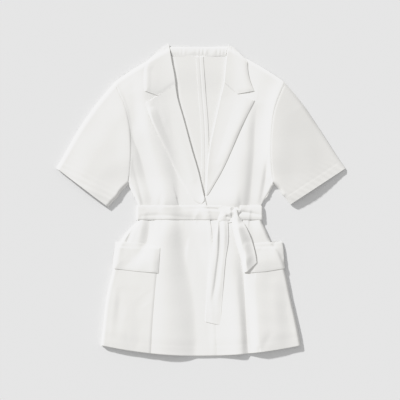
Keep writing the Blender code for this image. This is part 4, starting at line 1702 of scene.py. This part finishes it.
    def lay_leaf(self, side: Side) -> None:
        """A collar leaf, from the fold behind the neck to the notch.

        Args:
            side: Which leaf.
        """
        plan, to_roll, free = self.turned(self.leaves[side], side, self.leaf_grid, self.roll)
        x, y = plan[:, :, 0], plan[:, :, 1]
        from_edge = Chain(free[::2]).distance(x, y)
        beneath = ["front_right", "front_left", "back_right", "back_left", "collar_stand", "collar_leaf_back"]
        floor = self.room.laid_on(beneath, plan, even_out=10)
        loft = self.loft * to_roll**2 + self.leaf_lift
        height = floor + WALL + np.maximum(loft + relief(self.leaf_creases[side], x, y), self.least)
        away = np.minimum(from_edge, Chain(plan[-1, ::3]).distance(x, y))
        height += self.full_edge(from_edge) - self.thin_edge * fading(away, self.leaf_thin_reach)
        from_fold = Chain(plan[0, ::3]).distance(x, y)
        height = self.fold_height + (height - self.fold_height) * rounded(from_fold, self.fold_round)
        radius = self.roll * self.leaf_roll.at(np.arange(len(height))) + self.leaf_roll_least
        self.make_rolled("collar_leaf", side, plan, height, radius)

    def build(self) -> None:
        """Builds what lies on the fronts."""
        for side in Side:
            self.lay_lapel(side)
            self.lay_leaf(side)


# Pockets


@dataclass
class Pockets:
    """The large patch pockets and their deep flaps."""

    room: Workroom
    pocket_grid: Grid = Grid(90, 58)
    flap_grid: Grid = Grid(34, 50)
    wall: float = 0.9
    wall_sink: float = 0.4
    least: float = 0.05
    rim_inset: float = 0.4
    sewn: float = 0.42
    sewn_reach: float = 4.0
    stitch_sink: float = 0.35
    stitch_width: float = 2.2
    loft: float = 0.5
    loft_ramp: float = 30.0
    foot: float = 0.8
    foot_inset: float = 1.5
    foot_round: float = 3.0
    hidden_sink: float = 0.6
    shows: Ramp = Ramp(-112.0, -36.0)
    flap_loft: float = 0.7
    flap_loft_ramp: float = 40.0
    flap_edge_ramp: float = 26.0
    flap_lift: float = 0.1
    flap_droop: float = 0.12
    flap_sewn: tuple[float, float] = (0.45, 0.55)
    flap_sewn_ramp: float = 3.0
    flap_wall_sink: float = 0.3
    flap_fullness: float = 0.12
    flap_fullness_place: float = 3.5
    flap_fullness_width: float = 3.0
    flap_thin: float = 0.3
    flap_thin_reach: float = 5.0
    pockets: dict[Side, tuple[tuple[Spot, ...], ...]] = field(
        default_factory=lambda: {
            Side.RIGHT: (
                spots((-199, -112), (-208, -168), (-220.5, -224), (-230, -300), (-234.5, -342)),
                spots((-98, -112), (-103, -164), (-107, -204), (-114, -284), (-117.5, -342)),
            ),
            Side.LEFT: (
                spots((104, -112), (102, -164), (103, -212), (107, -290), (111, -342)),
                spots((188, -112), (197.5, -168), (209.5, -224), (226.5, -300), (234.5, -342)),
            ),
        }
    )
    flaps: dict[Side, tuple[tuple[Spot, ...], ...]] = field(
        default_factory=lambda: {
            Side.RIGHT: (
                spots((-200.5, -98), (-203.5, -120), (-206, -142), (-207.5, -161)),
                spots((-150, -101), (-151, -123), (-151.5, -145), (-152, -167.5)),
                spots((-96.5, -112), (-97.5, -131), (-99, -151), (-100, -171.5)),
            ),
            Side.LEFT: (
                spots((104, -104), (103.5, -125), (103, -148), (102.5, -172)),
                spots((150, -100), (151, -123), (152, -146), (153, -168)),
                spots((191, -97), (194.5, -118), (196, -140), (197.5, -160.5)),
            ),
        }
    )
    pocket_creases: dict[Side, tuple[Crease, ...]] = field(
        default_factory=lambda: {
            Side.RIGHT: (
                crease((-152, -248, 0, 8, 8), (-134, -237, -0.7, 8, 8), (-112, -220, -0.9, 8, 8)),
                crease(
                    (-192, -205, 0, 9, 9), (-192, -245, -0.9, 9, 12), (-196, -290, -0.6, 10, 12),
                    (-200, -332, 0, 10, 12),
                ),
                crease((-196, -190, 0.2, 12, 18), (-205, -260, 0.7, 12, 20), (-212, -330, 0.5, 12, 20)),
                crease((-165, -200, -0.2, 20, 24), (-160, -270, -0.6, 24, 26), (-158, -350, -0.5, 24, 26)),
            ),
            Side.LEFT: (
                crease((170, -305, 0, 9, 9), (158, -325, -0.4, 8, 9), (147, -348, -0.4, 8, 9)),
                crease((128, -190, 0.6, 12, 30), (132, -260, 1.1, 12, 34), (138, -340, 1.0, 12, 34)),
                crease((172, -200, 0.4, 14, 14), (178, -270, 0.8, 16, 14), (186, -340, 0.4, 16, 14)),
                crease((196, -180, -0.2, 10, 10), (204, -240, -0.5, 12, 12), (214, -320, -0.3, 12, 12)),
            ),
        }
    )
    flap_creases: dict[Side, tuple[Crease, ...]] = field(
        default_factory=lambda: {
            Side.RIGHT: (
                crease((-132, -102, -0.8, 14, 9), (-148, -124, -1.1, 17, 11), (-160, -148, -0.8, 18, 13)),
                crease((-192, -102, 0.7, 5, 8), (-194, -130, 0.6, 6, 9), (-197, -158, 0.3, 7, 9)),
                crease((-112, -112, 0.4, 10, 8), (-112, -165, 0.5, 10, 7)),
            ),
            Side.LEFT: (
                crease((128, -102, -0.5, 10, 12), (136, -130, -0.4, 12, 14), (140, -160, -0.1, 14, 14)),
                crease((172, -100, 0.3, 12, 14), (176, -130, 0.3, 12, 14), (178, -158, 0.2, 12, 14)),
            ),
        }
    )

    def lay_pocket(self, side: Side) -> None:
        """A patch pocket, sewn into the side seam and the hem.

        Args:
            side: Which pocket.
        """
        lines = [smooth_line(edge, spaced(self.pocket_grid.rows)) for edge in self.pockets[side]]
        plan = dropped(between(lines, spaced(self.pocket_grid.columns)))
        x, y = plan[:, :, 0], plan[:, :, 1]
        carrier = f"front_{side.value}"
        floor = self.room.laid_on((carrier,), plan, even_out=5)
        from_inner = Chain(plan[::3, -1 if side is Side.RIGHT else 0]).distance(x, y)
        loft = self.loft + relief(self.pocket_creases[side], x, y) + undulation(x, y, POCKET_WAVES)
        laid = np.maximum(loft, self.least) * smooth_step(from_inner / self.loft_ramp)
        height = floor + self.wall - self.wall_sink + laid
        height -= self.sewn * fading(from_inner, self.sewn_reach)
        height -= self.stitch_sink * fading(from_inner, self.stitch_width)
        height -= self.foot * (1 - rounded(y - hem_line(x) + self.foot_inset, self.foot_round))
        height -= self.hidden_sink * (1 - self.shows.at(y))
        middle = RIM_MIDDLE + GAP
        height = middle + (height - middle) * rounded(LIE.rim(x, y) + self.rim_inset, RIM_ROUND)
        name = f"pocket_{side.value}"
        self.room.make(
            Piece(name, raised(plan, height), "pocket_cloth", (name,), wall=self.wall, rests_on=(carrier,))
        )

    def lay_flap(self, side: Side) -> None:
        """A flap, sewn down along its top and free at its other edges.

        Args:
            side: Which flap.
        """
        lines = [smooth_line(edge, spaced(self.flap_grid.rows)) for edge in self.flaps[side]]
        plan = between(lines, spaced(self.flap_grid.columns, 2))
        x, y = plan[:, :, 0], plan[:, :, 1]
        carriers = (f"pocket_{side.value}", f"front_{side.value}")
        floor = self.room.laid_on(carriers, plan, even_out=8, droop=self.flap_droop)
        from_top = Chain(plan[0, ::3]).distance(x, y)
        border = Chain(np.vstack((plan[::3, 0][::-1], plan[::3, -1])))
        away = np.minimum(border.distance(x, y), Chain(plan[-1, ::3]).distance(x, y))
        full = self.flap_fullness * fading(away - self.flap_fullness_place, self.flap_fullness_width)
        full -= self.flap_thin * fading(away, self.flap_thin_reach)
        rise = smooth_step(from_top / self.flap_loft_ramp) * smooth_step(away / self.flap_edge_ramp)
        loft = self.flap_lift + self.flap_loft * rise + relief(self.flap_creases[side], x, y)
        at_seam, free = self.flap_sewn
        sewn = at_seam + free * smooth_step(from_top / self.flap_sewn_ramp)
        height = floor + sewn * (self.wall - self.flap_wall_sink) + np.maximum(loft, 0.0) + full * sewn
        name = f"flap_{side.value}"
        self.room.make(
            Piece(name, raised(plan, height), "pocket_cloth", (name,), wall=self.wall, rests_on=carriers)
        )

    def build(self) -> None:
        """Builds the pockets and the flaps."""
        for side in Side:
            self.lay_pocket(side)
            self.lay_flap(side)


# Belt


@dataclass
class Belt:
    """The tie belt: the two stretches across the front, the knot and its two ends."""

    room: Workroom
    band_rows: int = 16
    knot_grid: Grid = Grid(52, 36)
    long_grid: Grid = Grid(110, 24)
    short_grid: Grid = Grid(84, 30)
    wall: float = 1.0
    soft_wall: float = 0.9
    belly: float = 1.2
    belly_shape: float = 0.7
    band_lift: float = 0.15
    turn_inset: float = 0.7
    under_steps: tuple[float, ...] = (3.0, 6.0, 9.0)
    knot_edge: float = 0.7
    knot_rise: float = 1.7
    knot_ramp: float = 15.0
    lobe_ramp: float = 4.0
    knot_least: float = 0.3
    long_lift: float = 0.55
    long_loft: float = 1.6
    long_loft_at_knot: float = 0.6
    long_at_knot: Ramp = Ramp(-150.0, 90.0)
    long_flat_share: float = 0.2
    long_flat: Ramp = Ramp(-275.0, 110.0)
    long_least: float = 0.05
    long_right: tuple[float, float] = (0.75, 8.0)
    long_left: tuple[float, float] = (0.6, 5.0)
    long_right_sink: tuple[float, float] = (0.3, 0.25)
    long_right_low: Ramp = Ramp(-190.0, -40.0)
    long_end_sink: float = 0.35
    long_end: Ramp = Ramp(-262.0, -28.0)
    strap_lift: float = 0.7
    strap_shape: float = 0.6
    strap_end: Ramp = Ramp(-42.0, -26.0)
    short_rising: Ramp = Ramp(0.0, 0.95)
    short_falling: Ramp = Ramp(0.9, 1.1)
    short_end: Ramp = Ramp(-14.0, 38.0)
    span: dict[Side, int] = field(default_factory=lambda: {Side.RIGHT: 5, Side.LEFT: 8})
    columns: dict[Side, int] = field(default_factory=lambda: {Side.RIGHT: 96, Side.LEFT: 30})
    waist: dict[Side, float] = field(default_factory=lambda: {Side.RIGHT: -147.5, Side.LEFT: 141.5})
    start: dict[Side, float] = field(default_factory=lambda: {Side.RIGHT: 49.0, Side.LEFT: 92.0})
    knot: tuple[tuple[Spot, ...], ...] = (
        spots((42, -18), (52, -15), (64, -17), (74, -17), (84, -18), (96, -22)),
        spots((40, -32), (52, -34), (64, -35), (74, -34), (84, -33), (98, -33)),
        spots((39, -50), (52, -55), (62, -54), (74, -52), (84, -52), (97, -48)),
    )
    tail_long: tuple[tuple[Spot, ...], ...] = (
        spots((39, -50), (28.5, -94), (23, -132), (17.5, -186), (10.7, -287)),
        spots((44, -50), (43.5, -100), (39, -150), (34, -208), (28, -291)),
        spots((62.5, -50), (64, -94), (58, -137), (52, -208), (46, -295)),
    )
    tail_short: tuple[tuple[Spot, ...], ...] = (
        spots((77, -22), (79, -36), (74, -52), (81, -97), (94, -142), (101, -171)),
        spots((81.5, -21), (83.5, -36), (85.5, -54), (95.5, -96), (104, -132), (110, -168)),
        spots((86, -23), (88, -37), (101, -55), (115, -83), (124.5, -113), (131, -147)),
    )
    short_rows: tuple[float, ...] = (20, 50, 84, 112, 136, 172)
    short_rises: tuple[tuple[float, ...], ...] = (
        (1.6, 2.0, 1.2, 0.9, 0.6, 0.2),
        (4.0, 6.4, 7.2, 8.2, 6.4, 3.0),
        (0.5, 1.6, 1.8, 1.3, 1.2, 0.2),
    )
    band_creases: tuple[Crease, ...] = (
        crease((-60, -24, 0, 3, 3), (-2, -20, -0.5, 3, 3), (30, -21, -0.9, 3, 3), (46, -23, -0.8, 3, 3)),
        crease((-140, -38, -0.4, 4, 4), (-90, -36, -0.5, 4, 4), (-40, -40, -0.3, 4, 4), (20, -42, 0, 4, 4)),
        crease(
            (91, -28, -0.9, 2.6, 2.6), (112, -30, -0.8, 2.6, 2.6), (134, -34, -0.5, 3, 3),
            (146, -36, -0.1, 3, 3),
        ),
        crease((95, -21, 0.4, 6, 6), (112, -21, 0.3, 6, 6), (130, -23, 0.1, 6, 6)),
        crease((95, -40, 0.6, 7, 6), (110, -41, 0.4, 7, 6), (130, -43, 0.1, 6, 6)),
    )
    tail_crease: Crease = crease(
        (44, -52, -2.1, 3.4, 8), (44.5, -94, -2.1, 3.4, 9), (43.5, -125, -2.1, 3.4, 9),
        (39, -160, -1.9, 3.4, 9), (33, -205, -1.6, 3.4, 9), (26, -240, -0.4, 4, 9),
    )
    knot_lobes: tuple[Crease, ...] = (
        crease((50, -24, 0.2, 12, 9), (54, -34, 0.6, 14, 10), (52, -44, 0.5, 12, 9)),
        crease((44, -42, 0.5, 3, 4), (50, -38, 0.5, 3, 3), (55, -36, 0.2, 3, 3)),
        crease((66, -20, 1.0, 6, 5), (69, -29, 1.2, 5, 4)),
        crease((62, -39, -1.5, 3.2, 3.2), (67, -41, -1.7, 3.6, 3.6), (71, -44, -1.3, 3.6, 3.2)),
        crease((73, -37, -1.2, 2.4, 2.4), (74, -45, -1.8, 3, 2.4), (69, -51, -1.6, 3, 2.6)),
        crease((73.5, -19, -2.8, 2.8, 2.8), (75.5, -22.5, -3.0, 2.8, 2.8)),
        crease((84, -20, 1.6, 4, 4), (91, -28, 1.4, 4, 4)),
        crease((89, -32.5, -0.7, 2.0, 2.0), (91, -33.5, -0.7, 2.2, 2.2)),
        crease((88, -42, 1.0, 6, 6), (94, -42, 0.8, 6, 6)),
    )

    def band(self, side: Side) -> None:
        """A stretch across the front that turns round the side and under.

        Args:
            side: Which stretch.
        """
        outward = -1 if side is Side.RIGHT else 1
        x = np.linspace(*sorted((self.waist[side], self.start[side])), self.columns[side])
        y = BELT_LEVEL + BELT_WIDTH * (0.5 - spaced(self.band_rows))
        plan = np.stack(np.meshgrid(x, y), axis=2)
        floor = taut(self.room.laid_on(("front_right", "front_left"), plan, even_out=4), self.span[side])
        belly = self.belly * np.sin(np.pi * (plan[:, :, 1] - y[-1]) / BELT_WIDTH) ** self.belly_shape
        creases = relief(self.band_creases, plan[:, :, 0], plan[:, :, 1])
        top = raised(plan, floor + self.band_lift + belly + creases)
        last = top[:, 0] if side is Side.RIGHT else top[:, -1]
        radius = last[:, 2] / 2
        turned = []
        for angle in np.linspace(90, -90, 12)[1:]:
            bulge, rise = math.cos(math.radians(angle)), math.sin(math.radians(angle))
            place = last[:, 0] + outward * (self.turn_inset + radius * bulge)
            turned.append(np.stack((place, last[:, 1], radius + radius * rise), axis=1))
        for inward in self.under_steps:
            turned.append(np.stack((last[:, 0] - outward * inward, last[:, 1], np.zeros(len(last))), axis=1))
        under = np.stack(turned, axis=1)
        parts = (under[:, ::-1], top) if side is Side.RIGHT else (top, under)
        self.lay(f"belt_{side.value}", np.concatenate(parts, axis=1), self.wall)

    def lay(
        self, name: str, points: np.ndarray, wall: float, held: str = "laid",
        carriers: tuple[str, ...] = ("front_right", "front_left"),
    ) -> None:
        """Makes a part of the belt.

        Args:
            name: Its name, which is its node's too.
            points: Its points.
            wall: The cloth's thickness.
            held: How the cloth is held.
            carriers: The pieces beneath it.
        """
        self.room.make(Piece(name, points, "belt_cloth", (name,), wall=wall, held=held, rests_on=carriers))

    def lay_knot(self) -> None:
        """The knot's wrapped lobes, with the hollows between them."""
        lines = [smooth_line(edge, spaced(self.knot_grid.rows)) for edge in self.knot]
        plan = between(lines, spaced(self.knot_grid.columns, 2)).transpose(1, 0, 2)
        x, y = plan[:, :, 0], plan[:, :, 1]
        floor = self.room.laid_on(("front_right", "front_left"), plan, even_out=8)
        ring = np.vstack((plan[0, ::2], plan[::2, -1], plan[-1, ::-2], plan[::-2, 0]))
        away = Chain(ring).distance(x, y)
        lobes = relief(self.knot_lobes, x, y) * smooth_step(away / self.lobe_ramp)
        crown = self.knot_edge + self.knot_rise * smooth_step(away / self.knot_ramp)
        height = floor + np.maximum(crown + lobes, self.knot_least)
        self.lay("belt_knot", raised(plan, height), self.soft_wall, "gathered")

    def lay_long_tail(self) -> None:
        """The long end, creased lengthwise below the knot."""
        lines = [smooth_line(edge, spaced(self.long_grid.rows)) for edge in self.tail_long]
        plan = between(lines, spaced(self.long_grid.columns, 2))
        x, y = plan[:, :, 0], plan[:, :, 1]
        floor = self.room.laid_on(("front_right", "front_left"), plan, even_out=6)
        loft = self.long_loft + self.long_loft_at_knot * self.long_at_knot.at(y)
        loft += self.tail_crease.height(x, y)
        (right_share, right_reach), (left_share, left_reach) = self.long_right, self.long_left
        right_edge = fading(Chain(lines[2][::4]).distance(x, y), right_reach)
        left_edge = fading(Chain(lines[0][::4]).distance(x, y), left_reach)
        flat = self.long_flat_share + (1 - self.long_flat_share) * self.long_flat.at(y)
        laid = np.maximum(loft, self.long_least) * flat
        height = floor + self.long_lift + laid * (1 - right_share * right_edge) * (1 - left_share * left_edge)
        upper, lower = self.long_right_sink
        height -= (upper + lower * self.long_right_low.at(y)) * right_edge
        height -= self.long_end_sink * self.long_end.at(y)
        self.lay("belt_tail_long", raised(plan, height), self.soft_wall)

    def lay_short_tail(self) -> None:
        """The short end: it comes over the knot as a strap, and spreads into a raised ridge."""
        lines = [smooth_line(edge, spaced(self.short_grid.rows)) for edge in self.tail_short]
        across = spaced(self.short_grid.columns, 2)
        plan = between(lines, across)
        x, y = plan[:, :, 0], plan[:, :, 1]
        beneath = ("front_right", "front_left", "flap_left", "pocket_left", "belt_knot", "belt_left")
        floor = self.room.laid_on(beneath, plan, even_out=10)
        down = self.strap_end.at(y)
        strap = np.sin(np.pi * across / 2)[None, :] ** self.strap_shape
        left, crest, right = (np.interp(-y, self.short_rows, rise) for rise in self.short_rises)
        rising = self.short_rising.at(across)[None, :]
        falling = self.short_falling.at(across)[None, :]
        from_end = Chain(plan[-1, ::3]).distance(x, y)
        ridge = left + (crest - left) * rising - (crest - right) * falling
        ridge *= self.short_end.at(from_end)
        height = blurred(floor + self.strap_lift * (1 + (1 - down) * strap) + down * ridge, 2)
        carriers = ("front_left", "flap_left", "belt_knot")
        self.lay("belt_tail_short", raised(plan, height), self.soft_wall, carriers=carriers)

    def build(self) -> None:
        """Builds what shows of the belt."""
        for side in Side:
            self.band(side)
        self.lay_knot()
        self.lay_long_tail()
        self.lay_short_tail()


# Studio


@dataclass
class Studio:
    """The pale ground, the soft light from the upper left, and the camera straight above."""

    ground_half: float = 4.0
    height: float = 3.0
    view_width: float = 0.944
    sensor: float = 36.0
    elevation: float = 18.5
    direct: float = 0.46
    ambient: float = 0.54
    softness: float = 3.5
    aside: float = -0.0022
    travel: tuple[float, float] = (11.0, -12.0)
    travel_length: float = 16.3
    brightest: tuple[float, float] = (2.0, 0.918)
    shoulder: tuple[tuple[float, float], ...] = (
        (0.4, 0.4), (0.78, 0.78), (0.86, 0.842), (1.0, 0.878), (1.3, 0.9),
    )

    def build(self) -> None:
        """Builds the studio."""
        bm = bmesh.new()
        bmesh.ops.create_grid(bm, x_segments=1, y_segments=1, size=self.ground_half)
        mesh = bpy.data.meshes.new("ground")
        bm.to_mesh(mesh)
        bm.free()
        mesh.materials.append(PaperFinish().build())
        ground = bpy.data.objects.new("ground", mesh)
        bpy.context.scene.collection.objects.link(ground)
        world = bpy.data.worlds.new("soft_room")
        world.use_nodes = True
        background = world.node_tree.nodes["Background"]
        background.inputs["Color"].default_value = (1.0, 1.0, 1.0, 1.0)
        background.inputs["Strength"].default_value = self.ambient
        bpy.context.scene.world = world
        light = bpy.data.lights.new("key", "SUN")
        slope = math.radians(self.elevation)
        light.energy = self.direct * math.pi / math.sin(slope)
        light.angle = math.radians(self.softness)
        lamp = bpy.data.objects.new("key", light)
        travel = Vector((*self.travel, -self.travel_length * math.tan(slope)))
        lamp.rotation_euler = travel.to_track_quat("-Z", "Y").to_euler()
        bpy.context.scene.collection.objects.link(lamp)
        lens = bpy.data.cameras.new("camera")
        lens.sensor_width = self.sensor
        lens.lens = self.sensor * self.height / self.view_width
        camera = bpy.data.objects.new("camera", lens)
        camera.location = (self.aside, 0.0, self.height)
        bpy.context.scene.collection.objects.link(camera)
        bpy.context.scene.camera = camera
        self.develop(bpy.context.scene.view_settings)

    def develop(self, view: bpy.types.ColorManagedViewSettings) -> None:
        """Holds the highlights back, as the photograph's print does.

        Args:
            view: The scene's view settings.
        """
        view.view_transform = "Standard"
        view.use_curve_mapping = True
        mapping = view.curve_mapping
        mapping.clip_max_x = self.brightest[0]
        tone = mapping.curves[3]
        tone.points[1].location = self.brightest
        for place, value in self.shoulder:
            tone.points.new(place, value)
        mapping.update()


def main() -> None:
    """Builds the jacket and the studio."""
    logging.basicConfig(level=logging.INFO, format="%(name)s: %(message)s")
    room = Workroom()
    collar = Collar(room)
    collar.lay_leaf_back()
    Backs(room).build()
    for side in Side:
        Sleeve(room, side).build()
    collar.lay_stand()
    Fronts(room).build()
    collar.build()
    Pockets(room).build()
    Belt(room).build()
    Studio().build()
    bpy.context.view_layer.update()


if __name__ == "__main__":
    main()
